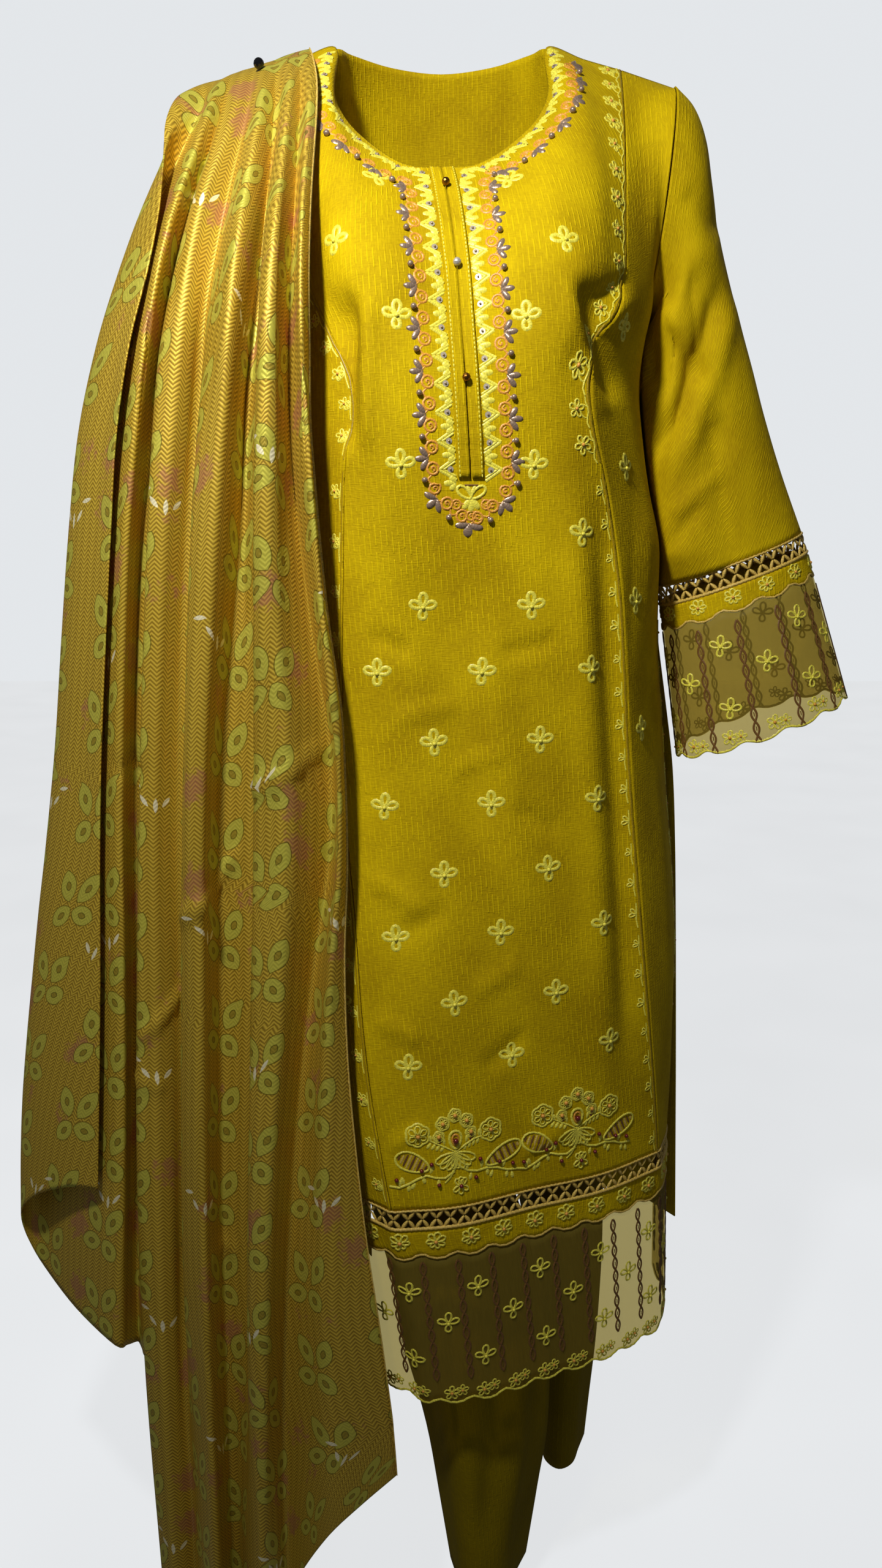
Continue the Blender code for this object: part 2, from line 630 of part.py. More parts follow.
# ---------------------------------------------------------------- hem and cuff trims
def hem_curve(z):
    """The whole front hem at a height, from the right slit edge to the left one."""
    right = list(reversed(side_section(PRINCESS_RIGHT, SIDE_RIGHT, z, 8)))
    centre = centre_section(z)
    left = side_section(PRINCESS_LEFT, SIDE_LEFT, z, 8)
    return right + centre[1:] + left[1:]


def even_points(points, count):
    """Even samples along an open polyline."""
    lengths = [0.0]
    for a, b in zip(points, points[1:]):
        lengths.append(lengths[-1] + (b - a).length)
    out = []
    k = 0
    for i in range(count + 1):
        want = lengths[-1] * i / count
        while k < len(points) - 2 and lengths[k + 1] < want:
            k += 1
        t = (want - lengths[k]) / (lengths[k + 1] - lengths[k])
        out.append(points[k].lerp(points[k + 1], min(max(t, 0.0), 1.0)))
    return out


def curve_length(points):
    return sum((b - a).length for a, b in zip(points, points[1:]))


def cutwork(name, upper, lower, spec=CORD):
    """A band between two rows of points with one lozenge gap cut through in each repeat."""
    bm = bmesh.new()
    tops = [bm.verts.new(point) for point in upper]
    bottoms = [bm.verts.new(point) for point in lower]
    for i in range(len(upper) - 1):
        a, d, b, c = upper[i], upper[i + 1], lower[i], lower[i + 1]
        middle = (a + b + c + d) / 4
        along = ((d + c) - (a + b)).normalized() * HOLE_WIDTH / 2
        down = ((b + c) - (a + d)).normalized() * HOLE_HEIGHT / 2
        hole = [bm.verts.new(middle + shift) for shift in (-down, -along, down, along)]
        frame = (tops[i], bottoms[i], bottoms[i + 1], tops[i + 1])
        for k in range(4):
            bm.faces.new((frame[k], hole[(k + 1) % 4], hole[k]))
            bm.faces.new((frame[k], frame[(k + 1) % 4], hole[(k + 1) % 4]))
    obj = add_object(name, bm, spec)
    solidify = obj.modifiers.new("wall", "SOLIDIFY")
    solidify.thickness = TRIM_WALL
    solidify.offset = 1.0
    return obj


def scallop(index, per_scallop=3):
    """Drop of a scalloped edge at one column: a cusp at each start, full between."""
    return SCALLOP_DEPTH * math.sin(math.pi * (index % per_scallop) / per_scallop)


def make_hem_trims():
    cut_low = CUTWORK_TOP - CUTWORK_HEIGHT
    band_low = cut_low - BAND_HEIGHT
    sheer_low = band_low - SHEER_HEIGHT
    repeats = round(curve_length(hem_curve(CUTWORK_TOP)) / CUTWORK_PITCH)
    cutwork("hem_cutwork_band",
            even_points(hem_curve(CUTWORK_TOP), repeats),
            even_points(hem_curve(cut_low + SEAM), repeats))

    scallops = round(curve_length(hem_curve(band_low)) / SCALLOP_PITCH)
    columns = scallops * 3

    def hem_row(z):
        return even_points(hem_curve(z), columns)

    def scalloped(z, gap=0.0):
        return [p - Vector((0.0, 0.0, scallop(i) + gap)) for i, p in enumerate(hem_row(z))]

    cloth("hem_scalloped_band", [[hem_row(cut_low), scalloped(band_low)]], TRIM_WALL, COTTON)
    middle = (band_low + sheer_low) / 2
    cloth("hem_organza", [[scalloped(band_low, SEAM), hem_row(middle), scalloped(sheer_low)]],
          SHEER_WALL, ORGANZA)


def cuff_ring(rings, side, place, angles, drops=None):
    """One ring of a cuff; the drops lower its columns along the sleeve."""
    points = [ring_point(between_rings(rings, place), angle, side) for angle in angles]
    if drops is None:
        return points
    start, end = ([ring_point(row, angle, side) for angle in angles] for row in rings)
    return [point + (b - a).normalized() * drop
            for point, a, b, drop in zip(points, start, end, drops)]


def make_sleeve(side, word, rings, cuff):
    around = 16
    rows = [between_rings(rings, place) for place in steps(0.0, len(rings) - 1.0, 10)]
    cloth(f"sleeve_{word}", [sleeve_rows(rows, side, around)], KAMEEZ_WALL, COTTON, closed=True)

    start, end = (ring_point(cuff[k], math.pi / 2, side) for k in (0, 1))
    length = (end - start).length
    cut = CUTWORK_HEIGHT / length
    band = cut + CUFF_BAND / length
    gap = SEAM / length
    ring = [ring_point(cuff[0], angle, side) for angle in ring_angles(64, side)]
    repeats = 2 * round(curve_length(ring + ring[:1]) / CUTWORK_PITCH / 2)

    for half, name in ((0, "front"), (1, "back")):
        turn = side * math.pi
        offset = math.pi if side > 0 else 0.0
        angles = [offset - turn * (half + i / (repeats / 2)) for i in range(repeats // 2 + 1)]
        upper = pull_in(cuff_ring(cuff, side, gap, angles), SEAM / 2, SEAM / 2)
        lower = pull_in(cuff_ring(cuff, side, cut, angles), SEAM / 2, SEAM / 2)
        cutwork(f"sleeve_{word}_cutwork_{name}", upper, lower)

    scallops = round(curve_length(ring + ring[:1]) * 1.05 / SCALLOP_PITCH)
    columns = scallops * 3
    angles = ring_angles(columns, side)
    drops = [scallop(i) for i in range(columns)]
    cloth(f"sleeve_{word}_scalloped_band",
          [[cuff_ring(cuff, side, cut + gap, angles),
            cuff_ring(cuff, side, band, angles, drops)]],
          TRIM_WALL, COTTON, closed=True)
    lower_drops = [drop + SEAM for drop in drops]
    cloth(f"sleeve_{word}_organza",
          [[cuff_ring(cuff, side, band, angles, lower_drops),
            cuff_ring(cuff, side, (band + 1.0) / 2, angles),
            cuff_ring(cuff, side, 1.0, angles, drops)]],
          SHEER_WALL, ORGANZA, closed=True)


# ---------------------------------------------------------------- trousers
def trouser_rows(outer, crease, inner, hem, side, face):
    """Rows of one trouser piece: outer seam, crease, then centre seam above and inner seam below."""
    levels = [WAIST_TOP, -0.490, -0.545, -0.600, -0.650, -0.700, -0.760, -0.830, -0.910, -1.000,
              -1.090, -1.180, -1.255, hem]
    rows = []
    for z in levels:
        if z > CROTCH_Z:
            y = read(CENTRE_SEAM, "front" if face < 0 else "back", z)
            share = (z - CROTCH_Z) / (levels[0] - CROTCH_Z)
            x = inner[0]["x"] * MM * (1 - share) + side * 0.0006 * share
            edge = Vector((x, y, z))
        else:
            edge = on_line(inner, z)
        start, middle = on_line(outer, z), on_line(crease, z)
        row = across([start, middle, edge], 6)
        row = pull_in(row, SEAM * 0.8, SEAM * 0.8)
        rows.append(row)
    left_to_right = (side < 0) == (face < 0)
    return rows if left_to_right else [list(reversed(row)) for row in rows]


def make_trousers():
    legs = ((1, "left", OUTER_SEAM_LEFT, CREASE_LEFT, BACK_CREASE_LEFT, INNER_SEAM_LEFT,
             LEG_HEM_LEFT),
            (-1, "right", OUTER_SEAM_RIGHT, CREASE_RIGHT, BACK_CREASE_RIGHT, INNER_SEAM_RIGHT,
             LEG_HEM_RIGHT))
    for side, word, outer, crease, back_crease, inner, hem in legs:
        for face, name, middle in ((-1, "front", crease), (1, "back", back_crease)):
            rows = trouser_rows(outer, middle, inner, hem, side, face)
            cloth(f"trouser_{name}_{word}", [rows], TROUSER_WALL, COTTON_DARK)
    ring = [on_line(OUTER_SEAM_RIGHT, WAIST_TOP), on_line(CREASE_RIGHT, WAIST_TOP),
            Vector((0.0, read(CENTRE_SEAM, "front", WAIST_TOP), WAIST_TOP)),
            on_line(CREASE_LEFT, WAIST_TOP), on_line(OUTER_SEAM_LEFT, WAIST_TOP),
            on_line(BACK_CREASE_LEFT, WAIST_TOP),
            Vector((0.0, read(CENTRE_SEAM, "back", WAIST_TOP), WAIST_TOP)),
            on_line(BACK_CREASE_RIGHT, WAIST_TOP)]
    count = 24
    lower = []
    for i in range(count):
        place = len(ring) * i / count
        k = int(place)
        window = [ring[(k + step) % len(ring)] for step in (-1, 0, 1, 2)]
        lower.append(smooth(window, 1 + place - k))
    lower = [p + Vector((0, 0, WAIST_GAP)) for p in lower]
    upper = [Vector((p.x * 0.965, p.y * 0.95, WAIST_TOP + WAISTBAND_HEIGHT)) for p in lower]
    cloth("trouser_waistband", [[upper, lower]], TROUSER_WALL, COTTON_DARK, closed=True)


# ---------------------------------------------------------------- dupatta
def fall_point(fold, z):
    """Point of a front fold line at a height."""
    below = z - fold["top_z"] * MM
    inner = read(FALL_DEPTH, "inner", below)
    outer = read(FALL_DEPTH, "outer", below)
    grown = min(1.0, max(0.0, -below / 0.200))
    grown = grown * grown * (3 - 2 * grown) * 0.85 + 0.15 * min(1.0, -below / 0.03)
    y = inner + (outer - inner) * fold["share"] + fold["stand"] * MM * grown
    first = FALL_X[0]["z"] * MM
    if z > first:
        t = (fold["top_z"] * MM - z) / (fold["top_z"] * MM - first)
        t = t * (2 - t)
        x = fold["top_x"] * MM * (1 - t) + FALL_X[0][fold["name"]] * MM * t
    else:
        x = read(FALL_X, fold["name"], z)
    return Vector((x, y, z))


def fall_height(fold, drop, end):
    """Height reached after a drop: level rows at first, then each line runs to its own end."""
    top = fold["top_z"] * MM
    if drop <= LEVEL_DROP:
        return top - drop
    rest = (drop - LEVEL_DROP) / (FALL_DROPS[-1] - LEVEL_DROP)
    return top - LEVEL_DROP - (top - LEVEL_DROP - end) * rest


def long_lines():
    """How many fold lines, from the inner edge on, run down to the long hem."""
    return 1 + next(i for i, fold in enumerate(FOLDS) if fold["name"] == LAST_LONG_FOLD)


def front_fall_row(drop):
    """A row from the shoulder to the shorter pleats' hem."""
    count = long_lines()
    lines = []
    for i, fold in enumerate(FOLDS):
        end = KNEE_Z if i < count else fold["hem"] * MM
        lines.append(fall_point(fold, fall_height(fold, drop, end)))
    return list(reversed(across(lines, 2 * (len(lines) - 1))))


def long_fall_row(share):
    """A row of the longer pleats, below the hem of the shorter ones."""
    count = long_lines()
    lines = []
    for i, fold in enumerate(FOLDS):
        start = KNEE_Z if i < count else fold["hem"] * MM
        end = fold["hem"] * MM if i < count else start - 0.200
        lines.append(fall_point(fold, start + (end - start) * share))
    row = across(lines, 2 * (len(lines) - 1))[:2 * (count - 1) + 1]
    return list(reversed(row))


def back_fall_row(level):
    """A row of the back fall: even pleats that grow as the cloth leaves the shoulder."""
    count = BACK_PLEATS * 4
    row = []
    for i in range(count + 1):
        share = i / count
        hem = BACK_FALL_HEM[0] + (BACK_FALL_HEM[1] - BACK_FALL_HEM[0]) * share
        z = level
        if level < -LEVEL_DROP:
            rest = (level + LEVEL_DROP) / (BACK_FALL_LEVELS[-1] + LEVEL_DROP)
            z = -LEVEL_DROP + rest * (hem + LEVEL_DROP)
        inner, outer = read(BACK_FALL, "inner_x", z), read(BACK_FALL, "outer_x", z)
        y = read(BACK_FALL, "depth", z) - BACK_SWING * share * min(1.0, -level / 0.2)
        grown = min(1.0, -level / 0.25)
        y += BACK_PLEAT_DEPTH * grown * math.sin(math.pi * BACK_PLEATS * 2 * share)
        shoulder = SHOULDER_TOP - SHOULDER_FALL * share
        row.append(Vector((inner + (outer - inner) * share, y + SEAM, z + shoulder)))
    return row


def make_dupatta():
    short = [front_fall_row(drop) for drop in FALL_DROPS]
    long = [long_fall_row(share) for share in steps(0.0, 1.0, 4)]
    cloth("dupatta_front_fall", [short, long], DUPATTA_WALL, SATIN)
    cloth("dupatta_back_fall", [[back_fall_row(level) for level in BACK_FALL_LEVELS]], DUPATTA_WALL,
          SATIN)
    row = front_fall_row(PIN_DROP)
    point = row[round(PIN_PLACE * (len(row) - 1))]
    outward = Vector((0.0, -0.75, 0.66))
    ball("dupatta_pin_head", point + outward * (PIN_RADIUS + DUPATTA_WALL + 2 * SEAM), PIN_RADIUS,
         PIN)


# ---------------------------------------------------------------- build
def clear_scene():
    for obj in list(bpy.data.objects):
        bpy.data.objects.remove(obj, do_unlink=True)
    old = bpy.data.collections.get(COLLECTION)
    if old:
        bpy.data.collections.remove(old)
    bpy.context.scene.collection.children.link(bpy.data.collections.new(COLLECTION))


def main():
    clear_scene()
    make_kameez_body()
    make_placket()
    make_hem_trims()
    make_sleeve(1, "left", SLEEVE_LEFT, CUFF_LEFT)
    make_sleeve(-1, "right", SLEEVE_RIGHT, CUFF_RIGHT)
    make_trousers()
    make_dupatta()


main()
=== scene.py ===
import math
from bisect import bisect_right
from functools import cache

import bmesh
import bpy
import numpy as np
from bpy.props import FloatProperty, FloatVectorProperty, PointerProperty
from mathutils import Matrix, Vector
from mathutils.bvhtree import BVHTree


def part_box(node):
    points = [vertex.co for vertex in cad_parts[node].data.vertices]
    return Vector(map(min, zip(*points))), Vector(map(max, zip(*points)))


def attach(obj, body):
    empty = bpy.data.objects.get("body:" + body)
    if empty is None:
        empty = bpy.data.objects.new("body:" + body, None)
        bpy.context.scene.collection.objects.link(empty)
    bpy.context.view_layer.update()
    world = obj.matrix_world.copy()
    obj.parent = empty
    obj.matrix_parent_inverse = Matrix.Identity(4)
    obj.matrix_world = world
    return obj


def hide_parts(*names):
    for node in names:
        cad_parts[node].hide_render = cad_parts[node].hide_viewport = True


bl_info = {
    "name": "Salwar kameez suit",
    "version": (1, 0, 0),
    "blender": (4, 5, 0),
    "location": "3D View > Sidebar > Suit",
    "description": "Dresses the suit's solids in embroidered cambric, lace, organza and satin",
    "category": "Add Mesh",
}

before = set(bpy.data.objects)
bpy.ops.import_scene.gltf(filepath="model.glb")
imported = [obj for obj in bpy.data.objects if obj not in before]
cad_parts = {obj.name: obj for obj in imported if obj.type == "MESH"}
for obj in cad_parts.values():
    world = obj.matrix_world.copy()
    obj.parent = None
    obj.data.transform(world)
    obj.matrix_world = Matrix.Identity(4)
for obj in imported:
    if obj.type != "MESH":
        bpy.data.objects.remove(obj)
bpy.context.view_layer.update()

SLIT_HALF = 0.0004          # half the gap that the placket slit stands open
SCALLOPS = {"hem": 17, "sleeve_left": 12, "sleeve_right": 9}
CUTWORK_HEIGHT = 0.0165
CROSS_PITCH = 0.0115
BAND_HEIGHT = {"hem": 0.023, "sleeve_left": 0.018, "sleeve_right": 0.018}
BRAID_REACH = 0.121         # how far the organza's braids run down from 6 mm below its top


def linear(code):
    """Linear colour of an sRGB hex code."""
    parts = [int(code[i:i + 2], 16) / 255 for i in (1, 3, 5)]
    return tuple(p / 12.92 if p <= 0.04045 else ((p + 0.055) / 1.055) ** 2.4 for p in parts)


def colour(name, description, code):
    return FloatVectorProperty(name=name, description=description, subtype="COLOR", size=3,
                               min=0, max=1, default=linear(code))


def length(name, description, default):
    return FloatProperty(name=name, description=description, default=default, unit="LENGTH",
                         min=0)


class SuitSizes(bpy.types.PropertyGroup):
    sprig_column: length("Sprig columns", "From one column of sprigs to the next", 0.041)
    sprig_row: length("Sprig rows", "From one sprig to the next in a column", 0.1025)
    triangle_pitch: length("Triangles", "From one neck triangle to the next", 0.0194)
    fan_pitch: length("Neck fans", "From one metallic fan to the next", 0.030)
    flower_pitch: length("Seam flowers", "From one princess seam flower to the next", 0.025)
    spray_pitch: length("Hem sprays", "From one hem spray to the next", 0.108)
    braid_loop: length("Braid loops", "Length of one loop of the organza braid", 0.0125)
    herringbone: length("Herringbone", "Width of one column of the satin's weave", 0.0046)
    leaf_pitch: length("Leaf print", "From one printed pair of leaves to the next", 0.075)


class SuitColours(bpy.types.PropertyGroup):
    cambric: colour("Cambric", "Slub threads of the mustard cambric", "#DABB05")
    cambric_shade: colour("Cambric ground", "Plain threads of the mustard cambric", "#AA8B02")
    # The trousers' colour is the kameez's mustard cambric painted darker. This is painted shade
    # for where they hang under the kameez and its organza.
    trousers: colour("Trousers", "Mustard cambric of the trousers", "#8E7804")
    satin: colour("Satin", "Antique gold threads of the dupatta", "#E4C040")
    satin_dark: colour("Satin ground", "Brown threads of the dupatta", "#94741A")
    leaf: colour("Printed leaf", "Olive of the printed leaves", "#C8C048")
    leaf_line: colour("Leaf outline", "Dark line round the printed leaves", "#6E6214")
    blossom: colour("Printed blossom", "Dusty pink of the faint blossoms", "#B46458")
    cream: colour("Printed stroke", "Cream of the stroke petals", "#F4E8BC")
    organza: colour("Organza", "Khaki of the organza", "#B8A040")
    yellow: colour("Yellow thread", "Pale yellow rayon", "#F6E850")
    peach: colour("Peach thread", "Peach rayon of the neck", "#E8A23C")
    mauve: colour("Mauve petals", "Metallic mauve of the neck fans", "#AA907A")
    brown: colour("Brown braid", "Brown braid on the organza", "#7A521C")
    lace: colour("Lace cord", "Beige gold of the cutwork", "#E0BC58")
    maroon: colour("Maroon", "Maroon beads of the hem sprays", "#7A2A24")


# ---------------------------------------------------------------- cloth from the solids
# Each cloth's wall, the border that its rows are counted from, and how many steps each square
# of the solid is drawn in, across and down.
PANEL_WALL, SHEER_WALL, SATIN_WALL, STRIP_WALL = 0.0012, 0.0010, 0.0011, 0.0010
CUTS = {
    "kameez_centre_front": (PANEL_WALL, "bottom", 8, 10),
    "kameez_side_front_left": (PANEL_WALL, "bottom", 8, 10),
    "kameez_side_front_right": (PANEL_WALL, "bottom", 8, 10),
    "kameez_back": (PANEL_WALL, "bottom", 5, 7),
    "placket_strip_left": (STRIP_WALL, "bottom", 3, 8),
    "placket_strip_right": (STRIP_WALL, "bottom", 3, 8),
    "hem_scalloped_band": (PANEL_WALL, "top", 4, 5),
    "hem_organza": (SHEER_WALL, "top", 4, 8),
    "sleeve_left": (PANEL_WALL, "top", 7, 9),
    "sleeve_right": (PANEL_WALL, "top", 6, 7),
    "sleeve_left_scalloped_band": (PANEL_WALL, "top", 4, 5),
    "sleeve_right_scalloped_band": (PANEL_WALL, "top", 4, 5),
    "sleeve_left_organza": (SHEER_WALL, "top", 4, 8),
    "sleeve_right_organza": (SHEER_WALL, "top", 4, 8),
    "trouser_front_left": (PANEL_WALL, "bottom", 5, 5),
    "trouser_front_right": (PANEL_WALL, "bottom", 5, 5),
    "trouser_back_left": (PANEL_WALL, "bottom", 5, 5),
    "trouser_back_right": (PANEL_WALL, "bottom", 5, 5),
    "trouser_waistband": (PANEL_WALL, "top", 3, 3),
    "dupatta_front_fall": (SATIN_WALL, "top", 5, 12),
    "dupatta_back_fall": (SATIN_WALL, "top", 4, 6),
}


def skin(node, wall):
    """The inner skin of a cloth solid, as merged triangles that face outwards."""
    low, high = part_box(node)
    heart = (low + high) / 2
    if not node.startswith("sleeve") and "waistband" not in node:
        heart = Vector((heart.x * 0.5, 0.0, heart.z))
        if node.startswith("trouser"):
            heart = Vector(((low.x + high.x) / 2, (low.y + high.y) * 0.1 - 0.02, heart.z))
    bm = bmesh.new()
    bm.from_mesh(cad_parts[node].data)
    bmesh.ops.remove_doubles(bm, verts=bm.verts, dist=2e-5)
    rim = [face for face in bm.faces
           if any(abs(edge.calc_length() - wall) < wall * 0.02 for edge in face.edges)]
    bmesh.ops.delete(bm, geom=rim, context="FACES")
    island, fresh = set(), {bm.faces[:][0]}
    while fresh:
        island |= fresh
        fresh = {other for face in fresh for edge in face.edges for other in edge.link_faces}
        fresh -= island
    facing = sum(f.calc_area() * f.normal.dot(heart - f.calc_center_median()) for f in island)
    drop = island if facing < 0 else set(bm.faces) - island
    bmesh.ops.delete(bm, geom=list(drop), context="FACES")
    bmesh.ops.reverse_faces(bm, faces=bm.faces)
    return bm


def border_loops(bm):
    """Border loops, each in the order that keeps the cloth on its left."""
    ahead = {}
    for edge in bm.edges:
        if edge.is_boundary:
            corner = edge.link_loops[0]
            ahead[corner.vert] = corner.link_loop_next.vert
    loops = []
    while ahead:
        start, follow = ahead.popitem()
        loop = [start]
        while follow is not start:
            loop.append(follow)
            follow = ahead.pop(follow)
        loops.append(loop)
    return loops


def neighbours(vert):
    return [edge.other_vert(vert) for edge in vert.link_edges]


def in_order(found, beside, closed):
    """A row's vertices put in the order of the row beside it."""
    left, chains = set(found), []
    while left:
        ends = [v for v in left if closed or sum(w in left for w in neighbours(v)) < 2]
        chain = [ends[0]]
        left.discard(ends[0])
        while True:
            follow = [w for w in neighbours(chain[-1]) if w in left]
            if not follow:
                break
            chain.append(follow[0])
            left.discard(follow[0])
        chains.append(chain)
    if closed:
        ring = chains[0]
        for turned in (ring, ring[::-1]):
            for k in range(len(ring)):
                row = turned[k:] + turned[:k]
                if all(a in neighbours(b) for a, b in zip(row, beside)):
                    return row
        raise RuntimeError("a ring of the cloth doesn't line up with the one beside it")
    place = {v: i for i, v in enumerate(beside)}

    def mean_place(verts):
        hits = [place[w] for v in verts for w in neighbours(v) if w in place]
        return sum(hits) / len(hits)

    chains = [c if mean_place(c[:1]) <= mean_place(c[-1:]) else c[::-1] for c in chains]
    return [v for chain in sorted(chains, key=mean_place) for v in chain]


def rows_of(bm, base):
    """Rows of points from the cloth's top down, each left to right as seen from outside.

    Rows are counted in edges from the top or bottom border, so how the squares are halved
    makes no difference.
    """
    sign = 1 if base == "top" else -1
    loops = border_loops(bm)
    closed = len(loops) == 2

    def height(run):
        return sign * sum(v.co.z for v in run) / len(run)

    if closed:
        first = max(loops, key=height)
    else:
        loop = loops[0]
        corners = [k for k, v in enumerate(loop)
                   if sum(c.calc_angle() for c in v.link_loops) < math.radians(125)]
        a, b = sorted(sorted(corners, key=lambda k: sign * loop[k].co.z)[-2:])
        first = max((loop[a:b + 1], loop[b:] + loop[:a + 1]), key=height)
    if base == "top":
        first = first[::-1]
    rows, seen = [first], set(first)
    while True:
        found = list(dict.fromkeys(w for v in rows[-1] for w in neighbours(v) if w not in seen))
        if not found:
            break
        seen.update(found)
        rows.append(in_order(found, rows[-1], closed))
    if base != "top":
        rows.reverse()
    return [[np.array(v.co) for v in row] for row in rows], closed


def weights(count, steps, closed=False):
    """Weights that run a smooth line through its points, with so many steps between two."""
    total = count * steps + 1 if closed else (count - 1) * steps + 1
    out = np.zeros((total, count))
    for k in range(total):
        i, t = divmod(k, steps)
        t /= steps
        if not closed and i == count - 1:
            i, t = count - 2, 1.0
        cubic = (-t / 2 + t * t - t ** 3 / 2, 1 - 2.5 * t * t + 1.5 * t ** 3,
                 t / 2 + 2 * t * t - 1.5 * t ** 3, -t * t / 2 + t ** 3 / 2)
        for offset, weight in zip((-1, 0, 1, 2), cubic):
            j = i + offset
            if closed:
                out[k, j % count] += weight
            elif j < 0:
                out[k, :2] += (2 * weight, -weight)
            elif j >= count:
                out[k, -2:] += (-weight, 2 * weight)
            else:
                out[k, j] += weight
    return out


class Cloth:
    """A piece of cloth as a fine grid of points, with its way out and its lengths in metres."""

    def __init__(self, node):
        self.node = node
        self.wall, base, self.across, self.down = CUTS[node]
        bm = skin(node, self.wall)
        rows, self.closed = rows_of(bm, base)
        bm.free()
        narrow = min(len(row) for row in rows)
        widest = max(len(row) for row in rows)
        self.full_rows = sum(len(row) == widest for row in rows)
        self.missing = 0
        self.slit = 0
        if node == "kameez_centre_front":
            middle = narrow // 2
            self.slit = sum(len(row) > narrow for row in rows)
            rows = [row if len(row) == narrow else
                    row[:middle] + [(row[middle] + row[middle + 1]) / 2] + row[middle + 2:]
                    for row in rows]
        elif narrow < widest:
            self.missing = widest - narrow
            for k in range(self.full_rows, len(rows)):
                above, higher = rows[k - 1], rows[k - 2]
                rows[k] = [2 * above[i] - higher[i] for i in range(self.missing)] + rows[k]
        self.coarse = np.array(rows)
        sideways = weights(self.coarse.shape[1], self.across, self.closed)
        downwards = weights(self.coarse.shape[0], self.down)
        self.points = np.einsum("ri,ijk,cj->rck", downwards, self.coarse, sideways)
        self.measure()
        self.tree = None

    def measure(self):
        """Work out the way out of the cloth and its lengths across and down."""
        p = self.points
        side = np.gradient(p, axis=1)
        if self.closed:
            side[:, 0] = side[:, -1] = p[:, 1] - p[:, -2]
        out = np.cross(np.gradient(p, axis=0), side)
        self.out = out / np.maximum(np.linalg.norm(out, axis=2, keepdims=True), 1e-12)
        steps_across = np.linalg.norm(np.diff(p, axis=1), axis=2)
        self.u = np.concatenate((np.zeros((len(p), 1)), np.cumsum(steps_across, axis=1)), axis=1)
        self.u -= self.u[:, [self.u.shape[1] // 2]]
        steps_down = np.linalg.norm(np.diff(p, axis=0), axis=2)
        self.v = np.concatenate((np.zeros((1, p.shape[1])), np.cumsum(steps_down, axis=0)))
        self.v = self.v[-1] - self.v if self.node.startswith(("kameez", "placket")) else -self.v

    def push(self, depth):
        """Move the cloth out by a depth at each point."""
        self.points = self.points + self.out * depth[:, :, None]
        self.measure()

    def fold(self, creases, face):
        """Press soft creases into the cloth: rows of x, z from, x, z to, bow, width and depth
        in millimetres as seen from the front. A negative depth is a trough."""
        here = self.points[:, :, (0, 2)] * 1000
        facing = np.clip(self.out[:, :, 1] * face * 3, 0, 1)
        depth = np.zeros(here.shape[:2])
        for x0, z0, x1, z1, bow, width, high in creases:
            start, run = np.array((x0, z0)), np.array((x1 - x0, z1 - z0), dtype=float)
            reach = np.linalg.norm(run)
            along = (here - start) @ (run / reach) / reach
            aside = (here - start) @ np.array((-run[1], run[0])) / reach
            aside = aside - bow * 4 * along * (1 - along)
            fade = np.clip(np.minimum(along, 1 - along) * 4, 0, 1)
            depth += high * np.exp(-(aside / width) ** 2) * fade * fade * (3 - 2 * fade)
        self.push(depth * facing / 1000)

    def near(self, place):
        """The nearest spot of the cloth and the way out of it there."""
        if self.tree is None:
            rows, columns = self.points.shape[:2]
            corner = np.arange(rows * columns).reshape(rows, columns)
            squares = np.stack((corner[:-1, :-1], corner[1:, :-1], corner[1:, 1:],
                                corner[:-1, 1:]), axis=-1)
            first_missing = self.missing * self.across
            last_full = (self.full_rows - 1) * self.down
            if self.missing:
                squares = np.concatenate((squares[:last_full].reshape(-1, 4),
                                          squares[last_full:, first_missing:].reshape(-1, 4)))
            self.tree = BVHTree.FromPolygons([Vector(p) for p in self.points.reshape(-1, 3)],
                                             squares.reshape(-1, 4).tolist())
        spot, way, _, _ = self.tree.find_nearest(place)
        return spot, way

    def facing(self, x, z, face=-1):
        """The spot of the cloth at x and z, seen from the front or, for a face of 1, the back."""
        self.near(Vector((x, face, z)))
        spot, _, _, _ = self.tree.ray_cast(Vector((x, face, z)), Vector((0, -face, 0)))
        if spot is None:
            seen = self.out[:, :, 1] * face > 0
            gap = np.hypot(self.points[:, :, 0] - x, self.points[:, :, 2] - z)
            gap[~seen] += 9
            spot = Vector(self.points[np.unravel_index(gap.argmin(), gap.shape)])
        return spot

    def facing_down(self, across, down):
        """The spot at a share of the way across and down the cloth's grid."""
        rows, columns = self.points.shape[:2]
        y, x = down * (rows - 1), across * (columns - 1)
        r, c = min(int(y), rows - 2), min(int(x), columns - 2)
        left, right = (Vector(self.points[r, k]).lerp(Vector(self.points[r + 1, k]), y - r)
                       for k in (c, c + 1))
        return left.lerp(right, x - c)

    def edge(self, side, step=1):
        """Points of one border: top and bottom run left to right, the sides bottom to top."""
        lines = {"top": self.points[0], "bottom": self.points[-1],
                 "left": self.points[::-1, 0], "right": self.points[::-1, -1]}
        return [Vector(p) for p in lines[side][::step]]

